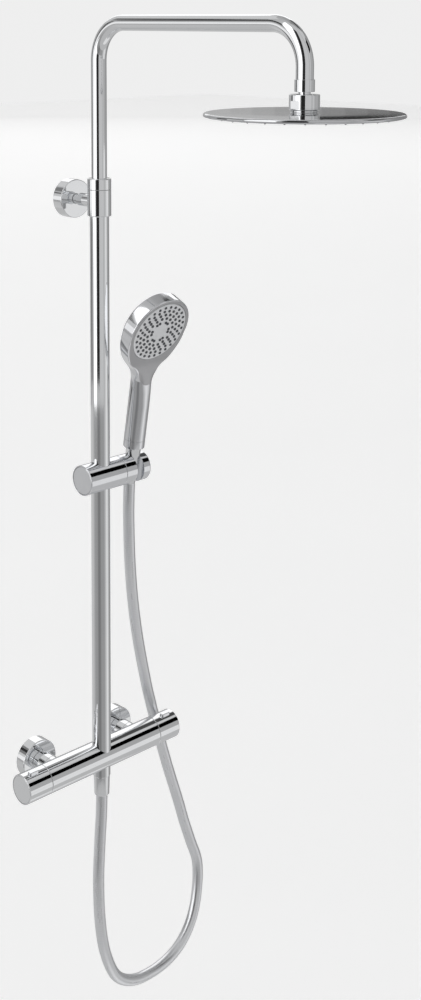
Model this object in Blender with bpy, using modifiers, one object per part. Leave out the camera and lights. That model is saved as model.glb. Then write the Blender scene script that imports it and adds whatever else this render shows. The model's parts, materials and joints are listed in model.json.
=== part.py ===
"""Rainfall shower column: thermostatic bar mixer, telescopic riser, swivelling arm with a round
overhead shower, sliding handset holder, handset and hose. Metres, +Z up. The wall is the plane
y = 0, the room is towards -Y, and the origin is the centre of the wall bracket's back."""

import math

import bmesh
import bpy
from mathutils import Vector

# ---- driving dimensions, metres -------------------------------------------------------------
GAP = 0.0003                 # play between neighbours that touch
WALL_TO_AXIS = 0.070         # wall to the riser's and the mixer's axes

MIXER_DROP = 0.830           # wall bracket down to the mixer's axis
MIXER_LENGTH = 0.290
MIXER_R = 0.0215
HANDLE_LENGTH = 0.040
HANDLE_WALL = 0.0020
CARTRIDGE_R = 0.0160
CARTRIDGE_LENGTH = 0.050
STEM_R = 0.0045
CAP_T = 0.0020

INLET_SPACING = 0.150
LEG_R = 0.0160
LEG_END = 0.044              # wall to the end of the cast leg
LEG_THREAD_R = 0.0128
LEG_THREAD_LENGTH = 0.006
VALVE_LENGTH = 0.0120
UNION_R = 0.0135
UNION_LENGTH = 0.028         # wall to the front of the union's visible part
UNION_BORE_R = 0.0075
WALL_THREAD_R = 0.0104
WALL_THREAD_LENGTH = 0.016
INLET_ROSETTE_R = 0.030
INLET_ROSETTE_DEPTH = 0.0177
ROSETTE_WALL = 0.0016

OUTLET_R = 0.0130
OUTLET_DROP = 0.028          # mixer's axis to the underside of the outlet boss
OUTLET_THREAD_R = 0.0098
OUTLET_THREAD_LENGTH = 0.012

RISER_R = 0.0138
RISER_WALL = 0.0012
RISER_TOP = 0.010            # above the bracket's centre
NIPPLE_R = RISER_R - RISER_WALL - 0.0039

BUSH_WALL = 0.0010           # guide bush and collet, between the riser and the arm
ARM_R = RISER_R - RISER_WALL - 2 * GAP - BUSH_WALL
ARM_WALL = 0.0010
ARM_HEIGHT = 0.252           # arm's axis above the bracket's centre
ARM_REACH = 0.382            # riser to the overhead shower's axis
ARM_BEND_R = 0.052
ARM_TAIL = 0.155             # how far the tube reaches down into the riser
BUSH_LENGTH = 0.030

BRACKET_R = 0.0280
BRACKET_DEPTH = 0.0189
BASE_R = 0.0240
BASE_T = 0.0040
BASE_SCREW_OFFSET = 0.0150
SCREW_DEPTH = 0.0230           # wall face to the screw point
SCREW_POINT = 0.0050          # length of its taper
BRACKET_STEM_R = 0.0070
BRACKET_NECK_R = 0.0093
BRACKET_NECK_START = 0.029   # from the wall
STUD_R = 0.0030
SLEEVE_WALL = 0.0029
SLEEVE_R = RISER_R + GAP + SLEEVE_WALL
SLEEVE_BOTTOM = 0.020        # below the bracket's centre
SLEEVE_TOP = 0.018           # above it
RING_HEIGHT = 0.0157

HEAD_R = 0.1225
HEAD_T = 0.0062
HEAD_SHEET = 0.0012
HEAD_TOP = 0.1454            # above the bracket's centre
HEAD_COLLAR_H = 0.0028
BALL_NUT_H = 0.0185
BALL_R = 0.0110
BALL_NECK_R = BALL_R - 0.0036
BALL_BORE_R = BALL_NECK_R - 0.0039
BALL_FLAT = 0.0018           # cut off the underside of the ball
BALL_LIP_R = BALL_R - 0.0012  # the nut's lip that holds the ball
SEAT_T = 0.0014
SEAT_WALL = 0.0017
SEAT_HEIGHT = 0.0049         # seat's top above the ball's lowest point
BALL_CHAMBER_R = BALL_R + 0.0032
BALL_NUT_R = BALL_CHAMBER_R + 0.0045
HEAD_COLLAR_R = BALL_CHAMBER_R + 0.0021
ARM_COLLAR_R = ARM_R + GAP + 0.0011
ARM_COLLAR_H = 0.015

SLIDER_DROP = 0.400          # bracket's centre down to the slider's axis
SLIDER_CHAMBER_R = RISER_R + 0.0042
SLIDER_WALL = 0.0040
SLIDER_R = SLIDER_CHAMBER_R + SLIDER_WALL
SLIDER_LEFT = 0.0345         # riser's axis to the slider's left end
SLIDER_RIGHT = 0.0330        # riser's axis to the seam of the holder
SLIDER_END_WALL = 0.0060
BUTTON_R = SLIDER_R - 0.0019
BUTTON_T = 0.0015
BUTTON_TRAVEL = 0.0030
YOKE_RIGHT = 0.0200
HOLDER_RIGHT = 0.0800
HOLDER_HOLE = 0.0595         # riser's axis to the holder's hole
HOLDER_SLOT = 0.0130
AXLE_R = 0.0040
HANDSET_TILT = math.radians(9.5)

CONE_TOP = 0.0335            # along the handset's axis, from the slider's axis
CONE_BOTTOM = -0.0240
CONE_TOP_R = 0.0114
CONE_BOTTOM_R = 0.0086
HANDLE_R = 0.0158
HANDLE_FOOT = 0.0338
END_SLEEVE_TOP = 0.0465
FACE_FORWARD = 0.0254        # face centre, ahead of the handset's axis
FACE_UP = 0.2212             # face centre, along the handset's axis
FACE_ANGLE = math.radians(15.5)
HANDSET_HEAD_R = 0.0535
HANDSET_HEAD_T = 0.0225
FACE_R = 0.0520
SPRAY_R = 0.0472
FACE_T = 0.0030
SHELL_WALL = 0.0020

BUTTON_TAB_LENGTH = 0.0156
BUTTON_TAB_WIDTH = 0.0076
BUTTON_TAB_RISE = 0.0030
BUTTON_TAB_PLACE = 0.0170    # handle's outer end to the tab's centre

HOSE_R = 0.0085
HOSE_NUT_R = 0.0121
HOSE_NUT_FOOT_R = 0.0112
HOSE_NUT_LENGTH = 0.030
WASHER_T = 0.0018

ROUND = 24                   # sides of the larger round pieces
SMALL = 14                   # sides of the small ones
RIM = 48                     # sides of the overhead shower

# The hose's route, chosen by hand from the mixer's outlet to the cone under the handset.
HOSE_ROUTE = [
    (0.000, -0.070, -0.8886), (-0.001, -0.070, -0.920), (-0.004, -0.070, -0.962),
    (-0.007, -0.070, -1.024), (-0.004, -0.0695, -1.090), (0.007, -0.068, -1.148),
    (0.031, -0.065, -1.199), (0.068, -0.061, -1.227), (0.112, -0.056, -1.238),
    (0.156, -0.051, -1.237), (0.190, -0.047, -1.223), (0.216, -0.043, -1.194),
    (0.230, -0.039, -1.153), (0.2325, -0.036, -1.110), (0.220, -0.033, -1.070),
    (0.207, -0.031, -1.031), (0.195, -0.030, -0.992), (0.182, -0.029, -0.953),
    (0.169, -0.029, -0.915), (0.151, -0.029, -0.858), (0.133, -0.031, -0.801),
    (0.121, -0.034, -0.764), (0.100, -0.040, -0.690), (0.083, -0.047, -0.619),
    (0.070, -0.055, -0.550), (0.0625, -0.061, -0.484), (0.0597, -0.0645, -0.450),
    (0.0595, -0.0658, -0.4245),
]
HOSE_POINTS = 40

MIXER_Z = -MIXER_DROP
HALF_MIXER = MIXER_LENGTH / 2
SEAM_X = HALF_MIXER - HANDLE_LENGTH
HEAD_Y = -WALL_TO_AXIS - ARM_REACH
BALL_NUT_BOTTOM = HEAD_TOP + HEAD_COLLAR_H + GAP
BALL_NUT_TOP = BALL_NUT_BOTTOM + BALL_NUT_H
BALL_Z = BALL_NUT_TOP - BALL_R + 0.0010
ARM_COLLAR_BOTTOM = BALL_NUT_TOP + 0.003

parts = None
cutters = None


# ---- small helpers --------------------------------------------------------------------------
def clear_scene():
    for old in list(bpy.data.objects):
        bpy.data.objects.remove(old, do_unlink=True)


def collection(name):
    made = bpy.data.collections.new(name)
    bpy.context.scene.collection.children.link(made)
    return made


def material(name, colour, roughness, metallic):
    made = bpy.data.materials.new(name)
    made.use_nodes = True
    shader = made.node_tree.nodes["Principled BSDF"]
    shader.inputs["Base Color"].default_value = (*colour, 1.0)
    shader.inputs["Roughness"].default_value = roughness
    shader.inputs["Metallic"].default_value = metallic
    return made


def chrome(name):
    return material(name, (0.80, 0.80, 0.81), 0.06, 1.0)


def brass(name):
    return material(name, (0.78, 0.62, 0.34), 0.35, 1.0)


def steel(name):
    return material(name, (0.62, 0.62, 0.63), 0.30, 1.0)


def plastic(name, grey):
    return material(name, (grey, grey, grey), 0.45, 0.0)


def rubber(name):
    return material(name, (0.03, 0.03, 0.03), 0.70, 0.0)


def place(made, finish, at=(0, 0, 0), turn=(0, 0, 0), parent=None, hidden=False):
    made.location = at
    made.rotation_euler = turn
    if parent is not None:
        made.parent = parent
    if finish is not None:
        made.data.materials.append(finish)
    target = cutters if hidden else parts
    target.objects.link(made)
    if hidden:
        made.hide_render = True
        made.display_type = "WIRE"
    return made


def along(axis):
    """Rotation that lays a piece's own Z along the given axis."""
    return {"X": (0, math.pi / 2, 0), "Y": (-math.pi / 2, 0, 0), "Z": (0, 0, 0)}[axis]


def turned(name, finish, outer, bore=(), axis="Z", sides=ROUND, **where):
    """A turned piece. outer lists (height, radius) from top to bottom down the outside, bore the
    same from bottom to top up the inside. Without a bore it is solid to its axis."""
    path = list(outer) + list(bore)
    if not bore:
        path = [(outer[0][0], 0.0)] + path + [(outer[-1][0], 0.0)]
    mesh = bpy.data.meshes.new(name)
    edges = [(i, i + 1) for i in range(len(path) - 1)]
    if bore:
        edges.append((len(path) - 1, 0))
    mesh.from_pydata([(radius, 0.0, height) for height, radius in path], edges, [])
    made = bpy.data.objects.new(name, mesh)
    screw = made.modifiers.new("turn", "SCREW")
    screw.steps = sides
    screw.render_steps = sides
    screw.use_merge_vertices = True
    screw.merge_threshold = 0.00001
    screw.use_smooth_shade = True
    return place(made, finish, turn=where.pop("turn", along(axis)), **where)


def rod(name, finish, low, high, radius, **where):
    return turned(name, finish, [(high, radius), (low, radius)], **where)


def box(name, finish, size, bevel=0.0, **where):
    mesh = bpy.data.meshes.new(name)
    shape = bmesh.new()
    bmesh.ops.create_cube(shape, size=1.0)
    bmesh.ops.scale(shape, vec=Vector(size), verts=shape.verts)
    shape.to_mesh(mesh)
    shape.free()
    made = bpy.data.objects.new(name, mesh)
    if bevel:
        edge = made.modifiers.new("edge", "BEVEL")
        edge.width = bevel
        edge.segments = 2
    return place(made, finish, **where)


def cut(piece, tool):
    step = piece.modifiers.new("cut", "BOOLEAN")
    step.operation = "DIFFERENCE"
    step.object = tool


def join(piece, tool):
    step = piece.modifiers.new("join", "BOOLEAN")
    step.operation = "UNION"
    step.object = tool


def smooth_path(points, count):
    """Points evenly spaced along a smooth curve through the given ones."""
    ends = [Vector(p) for p in points]
    knots = [ends[0] * 2 - ends[1]] + ends + [ends[-1] * 2 - ends[-2]]
    fine = []
    for a, b, c, d in zip(knots, knots[1:], knots[2:], knots[3:]):
        for step in range(16):
            t = step / 16
            fine.append(0.5 * ((2 * b) + (c - a) * t + (2 * a - 5 * b + 4 * c - d) * t * t
                               + (3 * b - a - 3 * c + d) * t * t * t))
    fine.append(ends[-1])
    reach = [0.0]
    for a, b in zip(fine, fine[1:]):
        reach.append(reach[-1] + (b - a).length)
    spaced = []
    at = 0
    for i in range(count):
        want = reach[-1] * i / (count - 1)
        while at < len(reach) - 2 and reach[at + 1] < want:
            at += 1
        share = (want - reach[at]) / (reach[at + 1] - reach[at])
        spaced.append(fine[at].lerp(fine[at + 1], share))
    return spaced


def wire(name, finish, points, radius, resolution=2, caps=True, **where):
    curve = bpy.data.curves.new(name, "CURVE")
    curve.dimensions = "3D"
    curve.bevel_depth = radius
    curve.bevel_resolution = resolution
    curve.use_fill_caps = caps
    spline = curve.splines.new("POLY")
    spline.points.add(len(points) - 1)
    for target, point in zip(spline.points, points):
        target.co = (*point, 1.0)
        target.radius = 1.0
    return place(bpy.data.objects.new(name, curve), finish, **where)


def meshed(curve_object):
    """Turns a curve object into a mesh object with its caps welded."""
    bpy.context.view_layer.update()
    name = curve_object.name
    mesh = bpy.data.meshes.new_from_object(
        curve_object.evaluated_get(bpy.context.evaluated_depsgraph_get()))
    shape = bmesh.new()
    shape.from_mesh(mesh)
    bmesh.ops.remove_doubles(shape, verts=shape.verts, dist=0.00001)
    shape.to_mesh(mesh)
    shape.free()
    home = curve_object.users_collection[0]
    matrix = curve_object.matrix_world.copy()
    bpy.data.objects.remove(curve_object, do_unlink=True)
    made = bpy.data.objects.new(name, mesh)
    made.matrix_world = matrix
    home.objects.link(made)
    return made


def coil(name, finish, low, high, radius, wire_r, turns, **where):
    steps = turns * 8
    points = []
    for i in range(steps + 1):
        angle = 2 * math.pi * turns * i / steps
        height = low + wire_r + (high - low - 2 * wire_r) * i / steps
        points.append((radius * math.cos(angle), radius * math.sin(angle), height))
    return wire(name, finish, points, wire_r, **where)


def arc(centre, radius, start, end, steps):
    """Points of an arc in the YZ plane, angles in degrees from +Y towards +Z."""
    points = []
    for i in range(steps + 1):
        angle = math.radians(start + (end - start) * i / steps)
        points.append((centre[0], centre[1] + radius * math.cos(angle),
                       centre[2] + radius * math.sin(angle)))
    return points


def empty(name, at, turn=(0, 0, 0), parent=None):
    made = bpy.data.objects.new(name, None)
    made.location = at
    made.rotation_euler = turn
    made.parent = parent
    parts.objects.link(made)
    return made


# ---- mixer ----------------------------------------------------------------------------------
def mixer_body():
    half = SEAM_X - GAP
    bevel = 0.0006
    body = turned("mixer_body", chrome("chromed_brass_body"),
                  [(half, MIXER_R - bevel), (half - bevel, MIXER_R),
                   (bevel - half, MIXER_R), (-half, MIXER_R - bevel)],
                  axis="X", at=(0, -WALL_TO_AXIS, MIXER_Z))
    leg_root = MIXER_R - WALL_TO_AXIS - 0.008
    for side in (-1, 1):
        leg = turned(f"leg_{side}", None,
                     [(-LEG_END + LEG_THREAD_LENGTH, LEG_THREAD_R), (-LEG_END, LEG_THREAD_R),
                      (-LEG_END, LEG_R), (leg_root, LEG_R)],
                     axis="Y", at=(side * INLET_SPACING / 2, 0, MIXER_Z), hidden=True)
        join(body, leg)
    boss = rod("outlet_boss", None, -OUTLET_DROP, -MIXER_R + 0.008, OUTLET_R,
               at=(0, -WALL_TO_AXIS, MIXER_Z), hidden=True)
    join(body, boss)
    chamber = CARTRIDGE_R + GAP
    inner = half - CARTRIDGE_LENGTH - 0.004
    bore = turned("mixer_bore", None,
                  [(half + 0.01, chamber), (inner, chamber), (inner, 0.006), (-inner, 0.006),
                   (-inner, chamber), (-half - 0.01, chamber)],
                  axis="X", at=(0, -WALL_TO_AXIS, MIXER_Z), hidden=True)
    cut(body, bore)
    for side in (-1, 1):
        way = rod(f"inlet_way_{side}", None, -WALL_TO_AXIS + 0.004, -LEG_END + 0.02, 0.0093,
                  axis="Y", sides=SMALL, at=(side * INLET_SPACING / 2, 0, MIXER_Z), hidden=True)
        cut(body, way)
    cut(body, rod("riser_way", None, 0.004, MIXER_R + 0.004, NIPPLE_R + GAP, sides=SMALL,
                  at=(0, -WALL_TO_AXIS, MIXER_Z), hidden=True))
    cut(body, rod("outlet_way", None, -OUTLET_DROP - 0.004, -0.004, 0.0080, sides=SMALL,
                  at=(0, -WALL_TO_AXIS, MIXER_Z), hidden=True))


def inlet(side, word):
    """Everything between the mixer's leg and the wall, on one side."""
    centre = (side * INLET_SPACING / 2, 0, MIXER_Z)
    where = {"axis": "Y", "at": centre}
    leg_face = -LEG_END + LEG_THREAD_LENGTH
    washer_end = leg_face + WASHER_T + GAP
    collar = washer_end + GAP
    turned(f"check_valve_{word}", plastic("white_acetal", 0.75),
           [(leg_face - GAP, 0.0089), (leg_face - VALVE_LENGTH, 0.0089)],
           [(leg_face - VALVE_LENGTH, 0.0050), (leg_face - GAP, 0.0050)], sides=SMALL, **where)
    turned(f"filter_washer_{word}", rubber("black_rubber"),
           [(washer_end, 0.0112), (leg_face + GAP, 0.0112)],
           [(leg_face + GAP, 0.0070), (washer_end, 0.0070)], sides=SMALL, **where)
    turned(f"eccentric_union_{word}", brass("chromed_union"),
           [(WALL_THREAD_LENGTH, WALL_THREAD_R), (-0.002, WALL_THREAD_R), (-0.002, UNION_R),
            (-UNION_LENGTH, UNION_R), (-UNION_LENGTH, 0.0098), (collar + 0.003, 0.0098),
            (collar + 0.003, 0.0114), (collar, 0.0114)],
           [(collar, UNION_BORE_R), (WALL_THREAD_LENGTH, UNION_BORE_R)], sides=SMALL, **where)
    nut_back = -UNION_LENGTH - GAP
    nut_front = -LEG_END + GAP
    shoulder = collar + 0.003 + GAP
    turned(f"union_nut_{word}", chrome("chromed_nut"),
           [(nut_back, LEG_R - 0.0006), (nut_back - 0.0006, LEG_R), (nut_front, LEG_R)],
           [(nut_front, LEG_THREAD_R + 0.0004), (shoulder, LEG_THREAD_R + 0.0004),
            (shoulder, 0.0102), (nut_back, 0.0102)], **where)
    deep = INLET_ROSETTE_DEPTH
    turned(f"inlet_rosette_{word}", chrome("chromed_rosette"),
           [(0.0, INLET_ROSETTE_R), (-deep + 0.001, INLET_ROSETTE_R),
            (-deep, INLET_ROSETTE_R - 0.001), (-deep, UNION_R + GAP)],
           [(-deep + ROSETTE_WALL, UNION_R + GAP),
            (-deep + ROSETTE_WALL, INLET_ROSETTE_R - ROSETTE_WALL),
            (0.0, INLET_ROSETTE_R - ROSETTE_WALL)], sides=ROUND, **where)


def handle(side, word):
    """One turning handle with its cap, its cartridge and its sprung stop button."""
    centre = (0, -WALL_TO_AXIS, MIXER_Z)
    flip = (0, side * math.pi / 2, 0)
    outer_end = HALF_MIXER
    where = {"turn": flip, "at": centre}
    skin = MIXER_R - HANDLE_WALL
    web = outer_end - CAP_T - GAP
    shell = turned(f"{word}_handle", chrome("chromed_handle"),
                   [(outer_end, MIXER_R - 0.0007), (outer_end - 0.0007, MIXER_R),
                    (SEAM_X + 0.0006, MIXER_R), (SEAM_X, MIXER_R - 0.0006)],
                   [(SEAM_X, skin), (web - 0.003, skin), (web - 0.003, 0.0075),
                    (web - 0.022, 0.0075), (web - 0.022, STEM_R + GAP), (web, STEM_R + GAP),
                    (web, skin + GAP), (outer_end, skin + GAP)], **where)
    turned(f"{word}_handle_cap", chrome("chromed_cap"),
           [(outer_end, skin - 0.0003), (outer_end - 0.0003, skin),
            (outer_end - CAP_T, skin)], **where)
    tail = SEAM_X - 0.004
    turned(f"{word}_stem", brass("brass_stem"),
           [(web - GAP, STEM_R), (tail, STEM_R), (tail, 0.0075), (tail - 0.003, 0.0075)],
           sides=SMALL, **where)
    seat = tail - 0.003 - GAP
    turned(f"{word}_cartridge", plastic("grey_cartridge", 0.30),
           [(seat, 0.0090), (seat - 0.004, 0.0090), (seat - 0.004, CARTRIDGE_R - GAP),
            (SEAM_X - CARTRIDGE_LENGTH, CARTRIDGE_R - GAP)], sides=SMALL, **where)
    nut_low = seat - 0.004 + GAP
    turned(f"{word}_cartridge_nut", brass("brass_nut"),
           [(SEAM_X - 0.0008, CARTRIDGE_R - GAP), (nut_low, CARTRIDGE_R - GAP)],
           [(nut_low, 0.0093), (SEAM_X - 0.0008, 0.0093)], sides=SMALL, **where)
    place_x = side * (HALF_MIXER - BUTTON_TAB_PLACE)
    top = MIXER_Z + MIXER_R
    hole = box(f"{word}_tab_hole", None,
               (BUTTON_TAB_LENGTH + 2 * GAP, BUTTON_TAB_WIDTH + 2 * GAP, 0.012),
               at=(place_x, -WALL_TO_AXIS, top), hidden=True)
    cut(shell, hole)
    tab = box(f"{word}_stop_button", chrome("chromed_button"),
              (BUTTON_TAB_LENGTH, BUTTON_TAB_WIDTH, BUTTON_TAB_RISE + 0.0050), bevel=0.0010,
              at=(place_x, -WALL_TO_AXIS, top + (BUTTON_TAB_RISE - 0.0050) / 2))
    flange_z = -0.0042
    flange = box(f"{word}_tab_flange", None, (BUTTON_TAB_LENGTH + 0.002, 0.0090, 0.0016),
                 at=(0, 0, flange_z), parent=tab, hidden=True)
    join(tab, flange)
    spring_top = MIXER_R + (BUTTON_TAB_RISE - 0.0050) / 2 + flange_z - 0.0008 - GAP
    coil(f"{word}_button_spring", steel("spring_steel"), 0.0075 + GAP, spring_top, 0.0022,
         0.0003, 3, at=(place_x, -WALL_TO_AXIS, MIXER_Z))


def outlet():
    where = {"at": (0, -WALL_TO_AXIS, MIXER_Z)}
    bottom = -OUTLET_DROP - GAP
    thread_end = bottom - OUTLET_THREAD_LENGTH
    turned("hose_outlet_nipple", brass("brass_nipple"),
           [(bottom + 0.012, 0.0077), (bottom, 0.0077), (bottom, OUTLET_THREAD_R),
            (thread_end, OUTLET_THREAD_R)],
           [(thread_end, 0.0050), (bottom + 0.012, 0.0050)], sides=SMALL, **where)
    washer_top = thread_end - GAP
    turned("hose_washer", rubber("hose_rubber"),
           [(washer_top, 0.0098), (washer_top - WASHER_T, 0.0098)],
           [(washer_top - WASHER_T, 0.0055), (washer_top, 0.0055)], sides=SMALL, **where)
    floor = washer_top - WASHER_T - GAP
    foot = bottom - HOSE_NUT_LENGTH
    turned("hose_nut", chrome("chromed_hose_nut"),
           [(bottom, HOSE_NUT_R - 0.0004), (bottom - 0.0004, HOSE_NUT_R),
            (foot + 0.0015, HOSE_NUT_FOOT_R), (foot, HOSE_NUT_FOOT_R - 0.0015)],
           [(foot, 0.0060), (floor, 0.0060), (floor, OUTLET_THREAD_R + GAP),
            (bottom, OUTLET_THREAD_R + GAP)], **where)


# ---- riser, bracket and arm -----------------------------------------------------------------
def riser():
    where = {"at": (0, -WALL_TO_AXIS, 0)}
    inner = RISER_R - RISER_WALL
    tube = turned("riser_tube", chrome("chromed_riser"),
                  [(RISER_TOP, RISER_R), (MIXER_Z, RISER_R)],
                  [(MIXER_Z, inner), (RISER_TOP, inner)], **where)
    saddle = rod("riser_saddle", None, -0.05, 0.05, MIXER_R + GAP, axis="X",
                 at=(0, -WALL_TO_AXIS, MIXER_Z), hidden=True)
    cut(tube, saddle)
    flange = MIXER_R + 2 * GAP
    turned("riser_nipple", brass("brass_riser_nipple"),
           [(flange + 0.014, inner - GAP), (flange, inner - GAP), (flange, NIPPLE_R),
            (0.0085, NIPPLE_R)],
           [(0.0085, 0.0060), (flange + 0.014, 0.0060)],
           at=(0, -WALL_TO_AXIS, MIXER_Z))
    turned("guide_bush", plastic("white_bush", 0.80),
           [(BUSH_LENGTH - ARM_TAIL, inner - GAP), (-ARM_TAIL, inner - GAP)],
           [(-ARM_TAIL, ARM_R + GAP), (BUSH_LENGTH - ARM_TAIL, ARM_R + GAP)], **where)


def bracket():
    turned("bracket_base", steel("plated_base"),
           [(0.0, BASE_R), (-BASE_T, BASE_R), (-BASE_T, 0.0095), (-BASE_T - 0.009, 0.0095),
            (-BASE_T - 0.009, STUD_R), (-0.040, STUD_R)], axis="Y", sides=ROUND)
    base = parts.objects["bracket_base"]
    for side, word in ((1, "upper"), (-1, "lower")):
        offset = side * BASE_SCREW_OFFSET
        cut(base, rod(f"screw_hole_{word}", None, -0.02, 0.01, 0.0026, axis="Y", sides=16,
                      at=(0, 0, offset), hidden=True))
        turned(f"wall_screw_{word}", steel("stainless_screw"),
               [(SCREW_DEPTH, 0.0010), (SCREW_DEPTH - SCREW_POINT, 0.0022),
                (-BASE_T - GAP, 0.0022),
                (-BASE_T - GAP, 0.0042), (-BASE_T - 0.0026, 0.0030)],
               axis="Y", sides=12, at=(0, 0, offset))
    turned("bracket_rosette", chrome("chromed_bracket_rosette"),
           [(-GAP, BRACKET_R), (-BRACKET_DEPTH + 0.001, BRACKET_R),
            (-BRACKET_DEPTH, BRACKET_R - 0.001), (-BRACKET_DEPTH, BRACKET_STEM_R + GAP)],
           [(-BRACKET_DEPTH + ROSETTE_WALL, BRACKET_STEM_R + GAP),
            (-BRACKET_DEPTH + ROSETTE_WALL, BRACKET_R - ROSETTE_WALL),
            (-GAP, BRACKET_R - ROSETTE_WALL)], axis="Y")
    sleeve = turned("bracket_arm", chrome("chromed_bracket"),
                    [(SLEEVE_TOP, SLEEVE_R), (0.0015 - SLEEVE_BOTTOM, SLEEVE_R),
                     (-SLEEVE_BOTTOM, SLEEVE_R - 0.0015)],
                    at=(0, -WALL_TO_AXIS, 0))
    stem_end = -BASE_T - 0.009 - GAP
    stem = turned("bracket_stem_shape", None,
                  [(stem_end, BRACKET_STEM_R), (-BRACKET_NECK_START, BRACKET_STEM_R),
                   (-BRACKET_NECK_START, BRACKET_NECK_R),
                   (-WALL_TO_AXIS + RISER_R, BRACKET_NECK_R)], axis="Y", hidden=True)
    join(sleeve, stem)
    cut(sleeve, rod("sleeve_bore", None, -0.06, 0.06, RISER_R + GAP,
                    at=(0, -WALL_TO_AXIS, 0), hidden=True))
    cut(sleeve, rod("stud_bore", None, -0.0415, 0.0, STUD_R + GAP, axis="Y", sides=16,
                    hidden=True))
    grub_y = -0.036
    cut(sleeve, rod("grub_bore", None, -0.02, 0.0, 0.0022, sides=12, at=(0, grub_y, 0),
                    hidden=True))
    rod("bracket_grub_screw", steel("grub_screw_steel"), 0.0004 - BRACKET_NECK_R,
        -STUD_R - GAP, 0.0018, sides=12, at=(0, grub_y, 0))
    collet_low = RISER_TOP + 2 * GAP
    ring_low = SLEEVE_TOP + GAP
    ring_top = ring_low + RING_HEIGHT
    lid = ring_top - 0.003
    turned("clamp_collet", plastic("acetal_collet", 0.70),
           [(lid - GAP, RISER_R - GAP), (collet_low, RISER_R - GAP)],
           [(collet_low, ARM_R + GAP), (lid - GAP, ARM_R + GAP)],
           at=(0, -WALL_TO_AXIS, 0))
    turned("locking_ring", chrome("chromed_locking_ring"),
           [(ring_top, SLEEVE_R - 0.0015), (ring_top - 0.0015, SLEEVE_R), (ring_low, SLEEVE_R)],
           [(ring_low, RISER_R + GAP), (lid, RISER_R + GAP), (lid, ARM_R + GAP),
            (ring_top, ARM_R + GAP)], at=(0, -WALL_TO_AXIS, 0))


def arm():
    low_bend = ARM_HEIGHT - ARM_BEND_R
    near = -WALL_TO_AXIS - ARM_BEND_R
    far = HEAD_Y + ARM_BEND_R
    path = [(0, -WALL_TO_AXIS, -ARM_TAIL)]
    path += arc((0, near, low_bend), ARM_BEND_R, 0, 90, 6)
    path += arc((0, far, low_bend), ARM_BEND_R, 90, 180, 6)
    path.append((0, HEAD_Y, ARM_COLLAR_BOTTOM + GAP))
    tube = meshed(wire("arm_tube", chrome("chromed_arm"), path, ARM_R, resolution=6,
                       caps=False))
    wall = tube.modifiers.new("wall", "SOLIDIFY")
    wall.thickness = ARM_WALL
    wall.offset = -1.0
    where = {"at": (0, HEAD_Y, 0)}
    turned("arm_collar", chrome("chromed_collar"),
           [(ARM_COLLAR_BOTTOM + ARM_COLLAR_H, ARM_COLLAR_R - 0.0005),
            (ARM_COLLAR_BOTTOM + ARM_COLLAR_H - 0.0005, ARM_COLLAR_R),
            (ARM_COLLAR_BOTTOM, ARM_COLLAR_R)],
           [(ARM_COLLAR_BOTTOM, ARM_R + GAP),
            (ARM_COLLAR_BOTTOM + ARM_COLLAR_H, ARM_R + GAP)], **where)


def ball_points(low, high, steps):
    """Outside of the ball from one height to a lower one, about its own centre."""
    points = []
    for i in range(steps + 1):
        height = high + (low - high) * i / steps
        points.append((BALL_Z + height, math.sqrt(BALL_R ** 2 - height ** 2)))
    return points


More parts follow.
